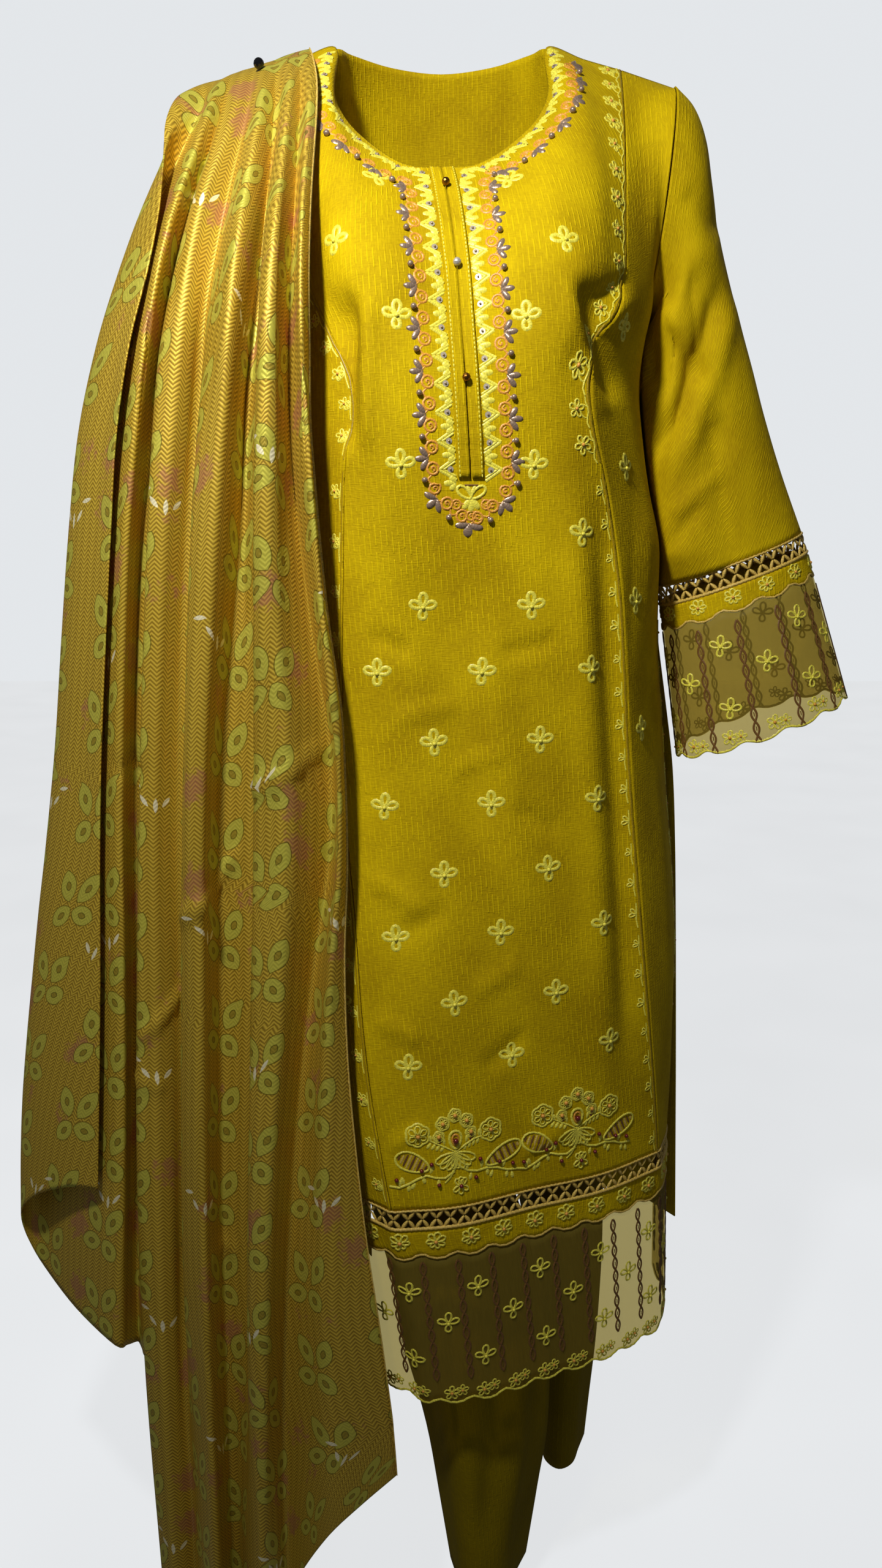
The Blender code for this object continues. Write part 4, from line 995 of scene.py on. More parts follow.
def spray_motif():
    """One repeat of the hem's spray: a centre flower on its stem between two blossoms, leaves
    that fan below it, two hatched leaves and the vine that joins it to the next."""
    work = Needlework()

    def petal(skein, x, y, long, wide, turn, line=1.7, points=10):
        work.petal(skein, x, y, long, wide, turn, line, 1.0, points)

    def stem(points, line, ends=1.0):
        work.strand("yellow", points, line, 1.0, ends=ends)

    petal("yellow", 0, -7, 15, 10, 90, 2.2, 14)
    petal("peach", 0, -4, 9, 5, 90, 1.6)
    work.bead("maroon", 0, 0, 2.4, 0.3)
    for x, y, radius in ((0, 21, 5.4), (-10.5, 15, 5.6), (10, 15.5, 5.6), (-14, 4.5, 4.4),
                         (13.5, 5.5, 4.4)):
        blossom(work, x, y, radius, 5)
    blossom(work, -31, 7, 9.6)
    blossom(work, 31, 4, 9.6)
    for tip, bow in ((-23, 3), (23, 0)):
        stem([(0, -10), (tip * 0.35, -5), (tip * 0.7, -1), (tip, bow)], 1.7, 0.6)
        lean = 100 if tip < 0 else 80
        for k in (0.4, 0.56, 0.72, 0.88):
            work.drop("maroon" if k == 0.56 else "yellow", tip * k, -5.5 + 7 * k, 6, 2.8, lean)
            work.drop("yellow", tip * k, -6 + 7 * k, 6, 2.8, 335 - lean)
    for long, wide, turn in ((18, 6.5, 200), (17, 6, 221), (15, 5.4, 243), (18, 6.5, 340),
                             (17, 6, 319), (15, 5.4, 297), (13, 5, 262), (13, 5, 280)):
        petal("yellow", 0, -11, long, wide, turn)
    stem([(0, -6), (0.5, -16), (-1, -24), (-5, -31), (-9, -35)], 2.4, 0.6)
    # Vine from the last repeat's edge to the next one's.
    stem([(-54, -35), (-46, -37), (-38, -34), (-31, -30), (-24, -27.5), (-17, -30), (-9, -31),
          (-1, -26)], 2.0)
    stem([(3, -22), (10, -27), (18, -29), (27, -28), (36, -30), (45, -34), (54, -35)], 2.0)
    for x, y, turn in ((-46, -36, 75), (-42, -34, 110), (-38, -34, 265), (-33, -33, 240),
                       (-27, -28, 285), (-21, -26, 70), (-14, -31, 265), (9, -27, 80),
                       (13, -29, 260), (22, -27, 80), (27, -28, 275), (32, -31, 250),
                       (41, -31, 70), (45, -34, 265), (49, -36, 280)):
        work.drop("yellow", x, y, 6.5, 3.2, turn)
    for x, y in ((-28, -23), (-14, -36), (17, -34), (38, -25), (50, -29), (-48, -30), (-20, -18),
                 (21, -19)):
        work.bead("maroon", x, y, 1.8)
    for turn in (55, 90, 125, 215, 270, 325):
        petal("yellow", 4, -39, 7.5, 3.8, turn, 1.5, 8)
    work.bead("maroon", 4, -39, 1.8, 0.3)
    hatched_leaf(work, 26, -25, 34, 14, 22)
    hatched_leaf(work, -22, -22, 29, 15, 156)
    return work.mesh("spray")


def cross_motif(wide, tall):
    """One cross of the cutwork: four rice-grain bars with a back, because they cross a hole."""
    work = Needlework()
    for x, y in ((-wide, -tall), (wide, -tall), (wide, tall), (-wide, tall)):
        work.strand("lace", straight((x * 0.47, y * 0.47), (x * 0.03, y * 0.03), 4), 3.6, 1.3,
                    ends=0.35, under=True, lift=-0.6)
    return work.mesh("cross")


def braid_motif(long):
    """One loop of the organza's braid: two brown strands that part and cross again."""
    work = Needlework()
    for sign in (-2.3, 2.3):
        work.strand("brown", [(long * (k / 8 - 0.5), sign * math.sin(math.pi * k / 8))
                              for k in range(9)], 1.9, 0.9)
    work.strand("brown", [(-long * 0.15, 0), (0, 0.2), (long * 0.15, 0)], 0.9, 0.5)
    return work.mesh("braid")


def twist(work, guide, skein, aside, width, high, pitch=4.0, under=False):
    """A cord along a guide, thick and thin by turns as its strands wind round each other."""
    start, long = guide.run[0] * 1000, guide.length * 1000
    steps = max(2, round(long / pitch) * 2)
    path = [(start + long * k / steps, aside + (0.25 if k % 2 else -0.25))
            for k in range(steps + 1)]
    flat = Needlework()
    flat.strand(skein, path, width, high, under=under)
    work.lay(flat.mesh("cord"), guide)


# Creases pressed into each cloth: x and z of both ends, how far the middle bows aside,
# width and depth, in millimetres as seen from the front.
FRONT = (
    (-52, -205, -55, -330, 0, 7, 5.1), (-66, -205, -66, -330, 0, 10, -8.5),
    (87, -200, 125, -300, 0, 8, 4.2), (100, -195, 130, -290, 0, 11, -8.5),
    (95, -300, 140, -860, 2, 14, 4.2), (118, -330, 160, -850, 2, 12, -6),
    (145, -190, 110, -215, 0, 6, -3.4), (146, -205, 116, -236, 0, 6, 3.4),
    (-20, -400, 40, -640, 3, 16, -2.7), (30, -420, 74, -700, -3, 18, 3.1),
    (-60, -640, -10, -670, 2, 6, 2.2), (8, -665, -38, -690, 0, 6, -2.4),
    (-55, -752, -14, -772, 2, 6, 2.4), (52, -590, 96, -612, 2, 6, -2),
    (20, -735, 66, -712, -2, 6, 2), (70, -770, 30, -800, 2, 7, -2.4),
    (-40, -520, 20, -508, 2, 6, 1.9), (40, -470, 92, -458, -2, 6, -1.9),
    (-44, -860, -8, -838, 1, 6, 2), (60, -880, 108, -862, 2, 6, 2),
    (5, -560, 52, -545, 1, 5, 1.7), (-58, -455, -20, -470, 1, 6, -2),
)
BACK = (
    (-60, -200, -40, -620, 4, 18, 5.2), (70, -220, 50, -700, -4, 20, 5.2),
    (0, -300, 12, -1000, 3, 22, 3.9), (-120, -500, -150, -1080, 0, 16, 3.9),
    (120, -480, 160, -1080, 0, 16, 3.9), (-40, -640, 20, -660, 2, 8, 2),
    (30, -760, 90, -740, -2, 8, 2), (-110, -330, -40, -300, 3, 9, -3.2),
    (115, -320, 50, -290, -3, 9, -3.2), (-30, -880, 40, -900, 2, 8, 2),
)
SLEEVE_LEFT = (
    (160, -262, 198, -226, 0, 22, -9),
    (176, -206, 216, -184, 0, 16, -3), (180, -178, 226, -160, 0, 12, 2),
    (170, -330, 222, -240, 3, 7, -3), (190, -372, 236, -330, 2, 6, 2.4),
    (182, -402, 214, -356, -2, 6, -2.4), (198, -262, 226, -300, 2, 7, 3),
    (226, -176, 178, -327, 3, 8, -7), (238, -190, 190, -345, 3, 9, 4),
    (196, -230, 236, -330, 0, 12, -3), (186, -120, 226, -150, 2, 9, -2.5),
)
SLEEVE_RIGHT = (
    (-166, -200, -214, -181, 0, 13, -9), (-226, -176, -178, -327, -3, 8, -5),
    (-238, -190, -190, -345, -3, 9, 3), (-186, -120, -226, -150, -2, 9, -2.5),
)
LEGS = (
    (-62, -1010, -40, -1330, 2, 12, -6), (-36, -1010, -18, -1330, 2, 9, 6),
    (58, -1000, 40, -1290, -2, 12, -6), (84, -1000, 60, -1290, -2, 9, 4.5),
)
PLEATS = (
    (-171, -130, -229, -1240, -7, 5, -11), (-161, -130, -219, -1240, -7, 9, 6),
    (-127, -90, -170, -1240, 0, 5, -11), (-117, -90, -160, -1240, 0, 9, 6),
    (-207, -150, -268, -1100, -8, 5, -8), (-197, -150, -258, -1100, -8, 9, 5),
    (-96, -240, -62, -560, -6, 4, -6), (-104, -260, -70, -560, -6, 8, 3),
    (-205, -686, -154, -620, 0, 4, 3.5), (-248, -792, -208, -743, 0, 4, 3.5),
    (-150, -580, -83, -534, 2, 4, 3.5), (-190, -960, -172, -975, 0, 5, 2),
    (-262, -560, -225, -566, 0, 5, -3), (-258, -820, -225, -830, 0, 5, 2),
)
CREASES = {
    "kameez_centre_front": ((FRONT, -1),),
    "kameez_side_front_left": ((FRONT, -1),),
    "kameez_side_front_right": ((FRONT, -1),),
    "kameez_back": ((BACK, 1),),
    "sleeve_left": ((SLEEVE_LEFT, -1), (SLEEVE_LEFT, 1)),
    "sleeve_right": ((SLEEVE_RIGHT, -1), (SLEEVE_RIGHT, 1)),
    "trouser_front_left": ((LEGS, -1),),
    "trouser_front_right": ((LEGS, -1),),
    "trouser_back_left": ((LEGS, 1),),
    "trouser_back_right": ((LEGS, 1),),
    "dupatta_front_fall": ((PLEATS, -1),),
}


# ---------------------------------------------------------------- building the suit
KAMEEZ = ("kameez_centre_front", "kameez_side_front_left", "kameez_side_front_right",
          "kameez_back")
TROUSERS = ("trouser_front_left", "trouser_front_right", "trouser_back_left",
            "trouser_back_right", "trouser_waistband")


def build_kameez():
    body = cambric("mustard_slub_cambric", hue("cambric"), hue("cambric_shade"))
    # The left side seam stands out to the cuff, most at the cuff's height.
    seam_out, seam_x, seam_fade, cuff_z, cuff_reach = 0.006, 0.150, 0.012, -0.415, 0.045
    for node in KAMEEZ:
        piece = cloth(node)
        x, z = piece.points[:, :, 0], piece.points[:, :, 2]
        piece.push(seam_out * np.clip((x - seam_x) / seam_fade, 0, 1)
                   * np.exp(-((z - cuff_z) / cuff_reach) ** 2))
        make_cloth(node, body)
    for side in ("left", "right"):
        node = "placket_strip_" + side
        piece = cloth(node)
        # Puckers across the strips, where the placket's lower end is stitched.
        pucker, pucker_pitch, end_z, end_reach = 0.0005, 0.007, -0.318, 0.024
        z = piece.points[:, :, 2]
        low = np.exp(-((z - end_z) / end_reach) ** 2)
        piece.push(pucker * low * np.sin(z * 2 * math.pi / pucker_pitch))
        make_cloth(node, body)


def nestle(piece, body):
    """Ease a sleeve's inner side out until it lies against the body, from below the underarm
    to above the cuff."""
    depth = np.zeros(piece.points.shape[:2])
    low = piece.points[:, :, 2].min()
    inward = -piece.out[:, :, 0] * np.sign(piece.points[:, :, 0])
    underarm_z, underarm_fade, cuff_fade, room, most = -0.17, 0.05, 0.03, 0.003, 0.013
    for spot in zip(*np.nonzero(inward > 0.1)):
        place = piece.points[spot]
        gap = min((other.near(Vector(place))[0] - Vector(place)).length for other in body)
        fade = min((underarm_z - place[2]) / underarm_fade, (place[2] - low) / cuff_fade)
        depth[spot] = (np.clip(gap - room, 0, most) * np.clip(fade, 0, 1)
                       * min(2 * inward[spot] - 0.2, 1))
    piece.push(depth)


def build_sleeves():
    arm = cambric("mustard_slub_cambric_sleeves", hue("cambric"), hue("cambric_shade"), True)
    for side in ("left", "right"):
        node = "sleeve_" + side
        nestle(cloth(node), [cloth("kameez_side_front_" + side), cloth("kameez_back")])
        make_cloth(node, arm)


def trim(place, band_node, sheer_node, *lace_nodes):
    """A border of cutwork, scalloped band and organza, with all its needlework."""
    band, sheer = cloth(band_node), cloth(sheer_node)
    make_cloth(band_node, cambric("mustard_slub_cambric", hue("cambric"), hue("cambric_shade")))
    make_cloth(sheer_node, organza("khaki_organza"))
    scallops = SCALLOPS[place]
    tall = BAND_HEIGHT[place]
    top = Guide(band, band.edge("top"), snug=False)
    repeats = round(top.length / CROSS_PITCH)
    wide = top.length / repeats
    lace = Needlework()
    cross = cross_motif(wide * 1000, CUTWORK_HEIGHT * 1000)
    for k in range(repeats):
        lace.lay(cross, top, (k + 0.5) * wide, CUTWORK_HEIGHT * 0.5 + 0.0004)
    twist(lace, top, "lace", 0.6, 3.2, 1.4, under=True)
    twist(lace, top, "lace", CUTWORK_HEIGHT * 1000 + 0.2, 2.0, 1.1, under=True)
    lace_piece = lace.sew(place + "_cutwork_lace")
    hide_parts(*lace_nodes)

    work = Needlework()
    pitch = top.length / scallops
    middle = Guide(band, band.edge("top"))
    flower = band_flower_motif()
    for k in range(scallops):
        work.lay(flower, middle, (k + 0.5) * pitch, -tall * 0.50, math.radians((k % 3 - 1) * 12),
                 1.15 if tall > 0.02 else 1.0)
    low = Guide(band, band.edge("bottom"))
    twist(work, low, "lace", 0.8, 2.0, 0.9, 7)
    work.sew(place + "_band_needlework")

    work = Needlework()
    head = Guide(sheer, sheer.edge("top"))
    hem = Guide(sheer, sheer.edge("bottom"))
    step = head.length / scallops
    loop_long = bpy.context.scene.suit_sizes.braid_loop
    loop = braid_motif(loop_long * 1000)
    loops = int(BRAID_REACH / loop_long)
    for k in range(scallops + (0 if sheer.closed else 1)):
        x = min(max(k * step, 0.003), head.length - 0.003)
        drop = [sheer.facing_down(x / head.length, t / 30) for t in range(31)]
        down = Guide(sheer, drop)
        for n in range(loops):
            work.lay(loop, down, 0.006 + (n + 0.5) * loop_long)
    sprig = sprig_motif(0.92, 1.8)
    for k in range(scallops):
        for t in ((0.24, 0.72) if k % 2 else (0.47,)):
            spot = sheer.facing_down((k + 0.5) / scallops, t)
            work.lay(sprig, spot_guide(sheer, spot))
    edge_flower = flower_motif(5.5, 1.5)
    for k in range(scallops):
        spot = sheer.facing_down((k + 0.5) / scallops, 0.93)
        work.lay(edge_flower, spot_guide(sheer, spot), -0.004)
        work.lay(edge_flower, spot_guide(sheer, spot), 0.005, 0.002, size=0.8)
    twist(work, hem, "yellow", 1.0, 2.2, 1.0, 6)
    work.sew(place + "_organza_needlework")


def build_hem():
    trim("hem", "hem_scalloped_band", "hem_organza", "hem_cutwork_band")


def build_cuffs():
    for side in ("left", "right"):
        start = "sleeve_" + side
        trim(start, start + "_scalloped_band", start + "_organza",
             start + "_cutwork_front", start + "_cutwork_back")


def build_trousers():
    # The trousers' darker colour is painted shade from the kameez above them.
    legs = cambric("mustard_slub_cambric_trousers", hue("trousers"),
                   darker(hue("trousers"), 0.72))
    # The legs bear on each other below the seat.
    bear_x, bear_z, bear_out, bear_reach = 0.072, -1.0, 0.007, 0.03
    for node in TROUSERS:
        piece = cloth(node)
        away = np.hypot(piece.points[:, :, 0] - bear_x, piece.points[:, :, 2] - bear_z)
        piece.push(bear_out * np.exp(-(away / bear_reach) ** 2))
        make_cloth(node, legs)


def build_dupatta():
    gold = satin("antique_gold_satin")
    for node in ("dupatta_front_fall", "dupatta_back_fall"):
        make_cloth(node, gold)
    work = Needlework()
    piece = cloth("dupatta_front_fall")
    twist(work, Guide(piece, piece.edge("right", 3)), "lace", -1.5, 4.5, 1.2, 10)
    work.sew("dupatta_rolled_hem")


def build_fastenings():
    gold = metal("antique_gold_button", "#9A6A2A", 0.32)
    pearl = metal("pearl_lacquer_button", "#D8D2C8", 0.22, 0.4)
    for k, finish_of in ((1, gold), (2, pearl), (3, gold)):
        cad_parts[f"placket_button_{k}"].data.materials[0] = finish_of
    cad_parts["dupatta_pin_head"].data.materials[0] = metal("black_enamel_pin", "#0B0B0D",
                                                                 0.15, 0.0)


def slit_line():
    """x and z down the placket slit."""
    piece = cloth("kameez_centre_front")
    middle = piece.points.shape[1] // 2
    end = piece.slit * piece.down
    return [(p[0], p[2]) for p in piece.points[:end + 1:4, middle]]


# How far each band of the neck lies from the slit and below the neckline.
OUTER_BAND, INNER_BAND = (0.0300, 0.0195), (0.0170, 0.0078)


def neck_path(aside, below, tip):
    """x and z of a band that follows the neckline from one shoulder to the slit, goes down
    round the placket and back up to the other shoulder."""
    piece = cloth("kameez_centre_front")
    half = piece.points.shape[1] // 2
    slit = [p for p in slit_line() if p[1] < slit_line()[0][1] - below]
    sides = {}
    for sign in (-1, 1):
        neck = []
        reach = 5 * piece.across
        for k in range(0, reach + 1, 4):
            x, _, z = piece.points[0, half + sign * k]
            before = piece.points[0, half + sign * max(k - 2, 0)]
            after = piece.points[0, half + sign * (k + 2)]
            run = Vector((after[0] - before[0], after[2] - before[2])).normalized()
            neck.append((x + sign * abs(run.y) * below, z - abs(run.x) * below))
        corner = slit[0][0] + sign * aside
        neck = [p for p in neck if (p[0] - corner) * sign > 0.004]
        sides[sign] = neck[::-1] + [(corner, neck[0][1])] + [
            (x + sign * aside, z) for x, z in slit[2:]]
    end = slit[-1]
    foot = [(end[0] + x, end[1] + z) for x, z in tip]
    return sides[-1] + foot + sides[1][::-1]


def build_neck():
    sizes = bpy.context.scene.suit_sizes
    piece = cloth("kameez_centre_front")
    tip = ((-0.030, -0.003), (-0.024, -0.012), (-0.012, -0.023), (0.0, -0.030),
           (0.012, -0.023), (0.024, -0.012), (0.030, -0.003))
    outer = Guide(piece, frontal(piece, neck_path(*OUTER_BAND, tip)))
    work = Needlework()
    bud, fan = bud_motif(), fan_motif()
    foot = min(range(len(outer.points)), key=lambda k: outer.points[k].z)
    heart = outer.run[foot]
    count = int(outer.length / sizes.fan_pitch) + 1
    beads = Needlework()
    for k in range(-count, count + 1):
        s = heart + k * sizes.fan_pitch
        if 0.004 < s < outer.length - 0.004:
            work.lay(fan, outer, s, -0.0004)
        s += sizes.fan_pitch / 2
        if 0.004 < s < outer.length - 0.004:
            beads.bead("mauve", s * 1000, -4.2, 2.3, 0.4)
            beads.drop("sequin", s * 1000, -1.2, 3.4, 2.6, 270)
        for n in (0.25, 0.75):
            s = heart + (k + n) * sizes.fan_pitch
            if 0.006 < s < outer.length - 0.012:
                work.lay(bud, outer, s, 0.0026)
    work.lay(beads.mesh("beads"), outer)
    end = slit_line()[-1]
    for x, z, turn in ((-11, -15, 30), (11, -15, 150), (0, -23, 0)):
        work.lay(bud, spot_guide(piece, piece.facing(end[0] + x / 1000, end[1] + z / 1000)),
                 turn=math.radians(turn), size=0.8)
    work.sew("neck_outer_band")

    work = Needlework()
    triangle = triangle_motif()
    path = neck_path(*INNER_BAND, ((-0.012, 0.0), (0.012, 0.0)))
    # The inner band stops at the placket's end on both sides.
    stop = [k for k, p in enumerate(path) if abs(p[1] - end[1]) < 1e-6]
    for half in (path[:stop[0] + 1], path[stop[-1]:]):
        guide = Guide(piece, frontal(piece, half))
        count = round(guide.length / sizes.triangle_pitch)
        pitch = guide.length / count
        for k in range(count):
            work.lay(triangle, guide, (k + 0.5) * pitch, 0.0)
    lily = Needlework()
    for turn, long in ((270, 10), (232, 9.5), (308, 9.5)):
        lily.drop("yellow", 0, 0, long, 4.8, turn, 1.4, 0.4)
    for turn in (38, 142):
        lily.petal("yellow", 0, 0, 13, 6.2, turn, 2.2, 1.2)
    for turn in (68, 112):
        lily.drop("yellow", 0, 1.4, 8, 3.4, turn, 1.2, 0.5)
    work.lay(lily.mesh("lily"), spot_guide(piece, piece.facing(end[0], end[1] - 0.0105)))
    work.sew("neck_inner_band")

    work = Needlework()
    dash_pitch = 3.2
    for side, edge_name, inward in (("left", "right", 1.2), ("right", "left", -1.2)):
        strip = cloth("placket_strip_" + side)
        guide = Guide(strip, strip.edge(edge_name))
        dashes = Needlework()
        for k in range(int(guide.length * 1000 / dash_pitch)):
            s = (k + 0.2) * dash_pitch
            dashes.strand("yellow", straight((s, inward), (s + 2, inward)), 1.0, 0.4, ends=0.6)
        work.lay(dashes.mesh("dashes"), guide)
    tack = Needlework()
    tack.strand("brown", straight((-5, 0), (5, 0)), 1.4, 0.7)
    work.lay(tack.mesh("tack"), spot_guide(piece, piece.facing(end[0], end[1] - 0.0012)))
    work.sew("placket_stitching")


def build_sprigs():
    sizes = bpy.context.scene.suit_sizes
    sprig = sprig_motif()
    front = cloth("kameez_centre_front")
    middle = front.points.shape[1] // 2
    line = front.points[:, middle]
    column_rows, spray_room, hem_room = (-0.484, -0.435), 0.108, 0.02
    neck_z, placket_z = -0.125, -0.37
    for face, nodes in ((-1, KAMEEZ[:3]), (1, KAMEEZ[3:])):
        for node in nodes:
            piece = cloth(node)
            work = Needlework()
            low = piece.points[:, :, 2].min() + (spray_room if face < 0 else hem_room)
            for column in range(-5, 6):
                row = column_rows[column % 2]
                for k in range(-5, 8):
                    z = row - k * sizes.sprig_row
                    centre = np.interp(z, line[::-1, 2], line[::-1, 0])
                    x = centre + column * sizes.sprig_column - 0.002
                    # Sprigs beside the placket stand aside for its bands.
                    if face < 0 and z > placket_z and abs(column) == 1:
                        x += 0.008 * column
                    if z < low or z > neck_z or blocked(piece, x, z, face):
                        continue
                    spot = piece.facing(x, z, face)
                    work.lay(sprig, spot_guide(piece, spot),
                             turn=math.radians((column * 7 + k * 5) % 9 - 4))
            if len(work.bm.verts):
                work.sew(node + "_sprigs")


def blocked(piece, x, z, face):
    """Whether a sprig at x and z would miss the cloth or lie on another border."""
    spot = piece.facing(x, z, face)
    if abs(spot.x - x) > 0.004 or abs(spot.z - z) > 0.004:
        return True
    centre = piece.node == "kameez_centre_front"
    if centre:
        slit = slit_line()
        near = min(slit, key=lambda p: abs(p[1] - z))
        if z > slit[-1][1] - 0.045 and abs(x - near[0]) < 0.042:
            return True
    for line, room in ((piece.points[::3, 0], 0.013), (piece.points[::3, -1], 0.024),
                       (piece.points[0, ::3], 0.034)):
        if min((Vector(p) - spot).length for p in line) < (room if centre else 0.014):
            return True
    return False


def border(name, node, side, inward, top, bottom, motifs, pitch):
    """Sew motifs up one border of a cloth between two heights, row on row inwards. Each motif
    comes with its place aside and its size."""
    piece = cloth(node)
    guide = Guide(piece, [p for p in piece.edge(side, 2) if bottom < p.z < top])
    work = Needlework()
    count = round(guide.length / pitch)
    step = guide.length / count
    for k in range(count):
        for motif, aside, size in motifs:
            turn = 0 if inward > 0 else math.pi
            if aside > 0.008:
                turn = k * 0.7
            work.lay(motif, guide, (k + 0.5) * step + (0.004 if aside > 0.008 else 0),
                     inward * aside, turn, size * (1, 0.9, 1.08)[k % 3])
    twist(work, guide, "ground", inward * 1.6, 1.4, 0.6, 20)
    work.sew(name)


def build_borders():
    pitch = bpy.context.scene.suit_sizes.flower_pitch
    flower, wave, leaves = flower_motif(), wave_motif(), leaf_pair_motif()
    rich = ((wave, 0.0038, 1.0), (flower, 0.0120, 1.0))
    plain = ((leaves, 0.0040, 1.0),)
    border("princess_left_upper", "kameez_centre_front", "right", 1, 0.1, -0.335, rich, pitch)
    border("princess_left_lower", "kameez_centre_front", "right", 1, -0.335, -1.2, plain, 0.026)
    border("princess_right_upper", "kameez_side_front_right", "right", 1, 0.1, -0.335,
           ((flower, 0.0090, 0.8), (leaves, 0.0035, 1.0)), pitch)
    border("princess_right_lower", "kameez_side_front_right", "right", 1, -0.335, -1.2,
           ((flower, 0.0100, 0.75), (leaves, 0.0035, 1.0)), 0.036)
    for name, node, side, inward in (
            ("slit_left_border", "kameez_side_front_left", "right", 1),
            ("slit_right_border", "kameez_side_front_right", "left", -1)):
        border(name, node, side, inward, -0.45, -1.2,
               ((wave, 0.0036, 0.9), (flower, 0.0105, 0.8)), pitch * 1.2)


def build_sprays():
    sizes = bpy.context.scene.suit_sizes
    spray = spray_motif()
    front = cloth("kameez_centre_front")
    guide = Guide(front, front.edge("bottom"))
    work = Needlework()
    # The first spray stands 40 mm in from the image-left corner, each next one a repeat on.
    for k in range(2):
        work.lay(spray, guide, 0.052 + k * sizes.spray_pitch, 0.057)
    work.sew("hem_sprays")


# ---------------------------------------------------------------- operators
class SUIT_OT_kameez(bpy.types.Operator):
    """Cut the kameez's panels and placket strips from mustard cambric"""
    bl_idname = "suit.kameez"
    bl_label = "Kameez"

    def execute(self, context):
        build_kameez()
        return {"FINISHED"}


class SUIT_OT_sleeves(bpy.types.Operator):
    """Set in both sleeves"""
    bl_idname = "suit.sleeves"
    bl_label = "Sleeves"

    def execute(self, context):
        build_sleeves()
        return {"FINISHED"}


class SUIT_OT_hem(bpy.types.Operator):
    """Sew the hem's cutwork, scalloped band and organza, with their needlework"""
    bl_idname = "suit.hem"
    bl_label = "Hem trim"

    def execute(self, context):
        build_hem()
        return {"FINISHED"}


class SUIT_OT_cuffs(bpy.types.Operator):
    """Sew both cuffs' cutwork, scalloped bands and organza, with their needlework"""
    bl_idname = "suit.cuffs"
    bl_label = "Cuff trims"

    def execute(self, context):
        build_cuffs()
        return {"FINISHED"}


class SUIT_OT_trousers(bpy.types.Operator):
    """Cut the trousers and their waistband"""
    bl_idname = "suit.trousers"
    bl_label = "Trousers"

    def execute(self, context):
        build_trousers()
        return {"FINISHED"}


class SUIT_OT_dupatta(bpy.types.Operator):
    """Drape the satin dupatta and roll its hems"""
    bl_idname = "suit.dupatta"
    bl_label = "Dupatta"

    def execute(self, context):
        build_dupatta()
        return {"FINISHED"}


class SUIT_OT_fastenings(bpy.types.Operator):
    """Finish the placket's buttons and the dress pin"""
    bl_idname = "suit.fastenings"
    bl_label = "Buttons and pin"

    def execute(self, context):
        build_fastenings()
        return {"FINISHED"}


class SUIT_OT_neck(bpy.types.Operator):
    """Embroider both bands of the neckline and placket"""
    bl_idname = "suit.neck"
    bl_label = "Neck embroidery"

    def execute(self, context):
        build_neck()
        return {"FINISHED"}


class SUIT_OT_sprigs(bpy.types.Operator):
    """Embroider the scattered sprigs in half-drop columns"""
    bl_idname = "suit.sprigs"
    bl_label = "Sprigs"

    def execute(self, context):
        build_sprigs()
        return {"FINISHED"}


class SUIT_OT_borders(bpy.types.Operator):
    """Embroider the borders along the princess seams and side slits"""
    bl_idname = "suit.borders"
    bl_label = "Seam borders"

    def execute(self, context):
        build_borders()
        return {"FINISHED"}


class SUIT_OT_sprays(bpy.types.Operator):
    """Embroider the sprays above the hem's cutwork"""
    bl_idname = "suit.sprays"
    bl_label = "Hem sprays"

    def execute(self, context):
        build_sprays()
        return {"FINISHED"}


class SUIT_OT_stage(bpy.types.Operator):
    """Set the pale floor, the soft lamps and the camera"""
    bl_idname = "suit.stage"
    bl_label = "Studio"

    def execute(self, context):
        build_stage()
        return {"FINISHED"}


# The camera's place, its turn up from straight down and its lens in millimetres, and the floor.
EYE, EYE_TILT, LENS = (0, -1.0608, -0.36504), math.radians(77), 27.084
FLOOR_Z = -1.36


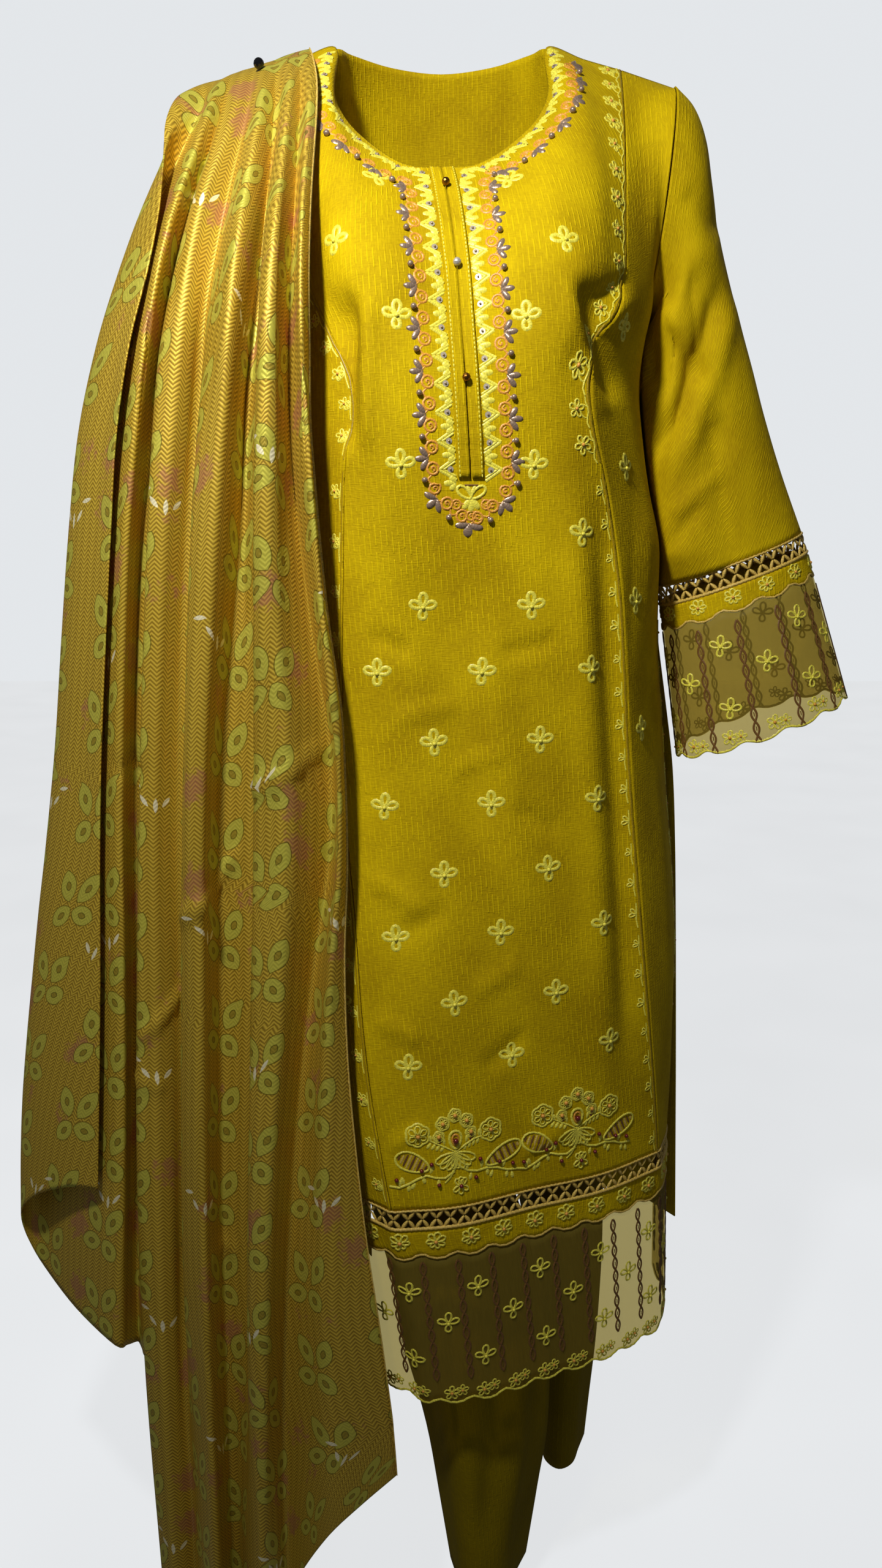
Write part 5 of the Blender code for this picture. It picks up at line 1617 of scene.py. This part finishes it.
def build_stage():
    scene = bpy.context.scene
    scene.view_settings.view_transform = "Standard"
    view = bpy.data.cameras.new("camera")
    view.sensor_fit = "VERTICAL"
    view.sensor_height = 36
    view.lens = LENS
    view.clip_start = 0.02
    camera = bpy.data.objects.new("camera", view)
    camera.location = EYE
    camera.rotation_euler = (EYE_TILT, 0, 0)
    scene.collection.objects.link(camera)
    scene.camera = camera
    # A dim room with a pale wall: the wall shows, and only a little of it lights the suit.
    world = bpy.data.worlds.new("studio")
    world.use_nodes = True
    world.node_tree.nodes.clear()
    path = add(world, "ShaderNodeLightPath")
    strength = add(world, "ShaderNodeMapRange", {"To Min": 0.12, "To Max": 1.1},
                   {"Value": path.outputs["Is Camera Ray"]})
    wall = add(world, "ShaderNodeBackground", {"Color": paint("#DADDE0")},
               {"Strength": strength})
    add(world, "ShaderNodeOutputWorld", links={"Surface": wall})
    scene.world = world
    for name, place, aim, watts, wide, cone in (
            ("key", (-0.28, -0.80, 0.36), (-0.13, 0.0, -0.36), 54, 0.05, 80),
            ("fill", (1.6, -1.9, 0.0), (0.0, 0.0, -0.3), 4, 1.2, 60),
            ("back", (0.7, 1.9, 0.5), (0.0, 0.0, -0.5), 45, 1.4, 60)):
        data = bpy.data.lights.new(name, "SPOT")
        data.energy = watts
        data.shadow_soft_size = wide
        data.spot_size = math.radians(cone)
        data.spot_blend = 1.0
        lamp = bpy.data.objects.new(name, data)
        lamp.location = place
        lamp.rotation_euler = (Vector(aim) - Vector(place)).to_track_quat("-Z", "Y").to_euler()
        scene.collection.objects.link(lamp)
    bm = bmesh.new()
    bmesh.ops.create_grid(bm, x_segments=1, y_segments=1, size=6,
                          matrix=Matrix.Translation((0, 0, FLOOR_Z)))
    mesh = bpy.data.meshes.new("floor")
    bm.to_mesh(mesh)
    bm.free()
    mesh.materials.append(floor_paint("pale_studio_floor"))
    floor = bpy.data.objects.new("floor", mesh)
    floor.visible_diffuse = False
    floor.visible_glossy = False
    scene.collection.objects.link(floor)


OPERATORS = (SUIT_OT_kameez, SUIT_OT_sleeves, SUIT_OT_hem, SUIT_OT_cuffs, SUIT_OT_trousers,
             SUIT_OT_dupatta, SUIT_OT_fastenings, SUIT_OT_neck, SUIT_OT_sprigs, SUIT_OT_borders,
             SUIT_OT_sprays, SUIT_OT_stage)


class SUIT_PT_panel(bpy.types.Panel):
    """Sizes and colours of the suit, and a button for each group of its pieces"""
    bl_idname = "SUIT_PT_panel"
    bl_label = "Salwar kameez suit"
    bl_space_type = "VIEW_3D"
    bl_region_type = "UI"
    bl_category = "Suit"

    def draw(self, context):
        for group in (context.scene.suit_sizes, context.scene.suit_colours):
            box = self.layout.box()
            for key in group.__annotations__:
                box.prop(group, key)
        for operator in OPERATORS:
            self.layout.operator(operator.bl_idname)


CLASSES = (SuitSizes, SuitColours, *OPERATORS, SUIT_PT_panel)


def register():
    for item in CLASSES:
        bpy.utils.register_class(item)
    bpy.types.Scene.suit_sizes = PointerProperty(type=SuitSizes)
    bpy.types.Scene.suit_colours = PointerProperty(type=SuitColours)


def unregister():
    del bpy.types.Scene.suit_colours
    del bpy.types.Scene.suit_sizes
    for item in reversed(CLASSES):
        bpy.utils.unregister_class(item)


def main():
    register()
    for operator in OPERATORS:
        group, name = operator.bl_idname.split(".")
        getattr(getattr(bpy.ops, group), name)()


if __name__ == "__main__":
    main()
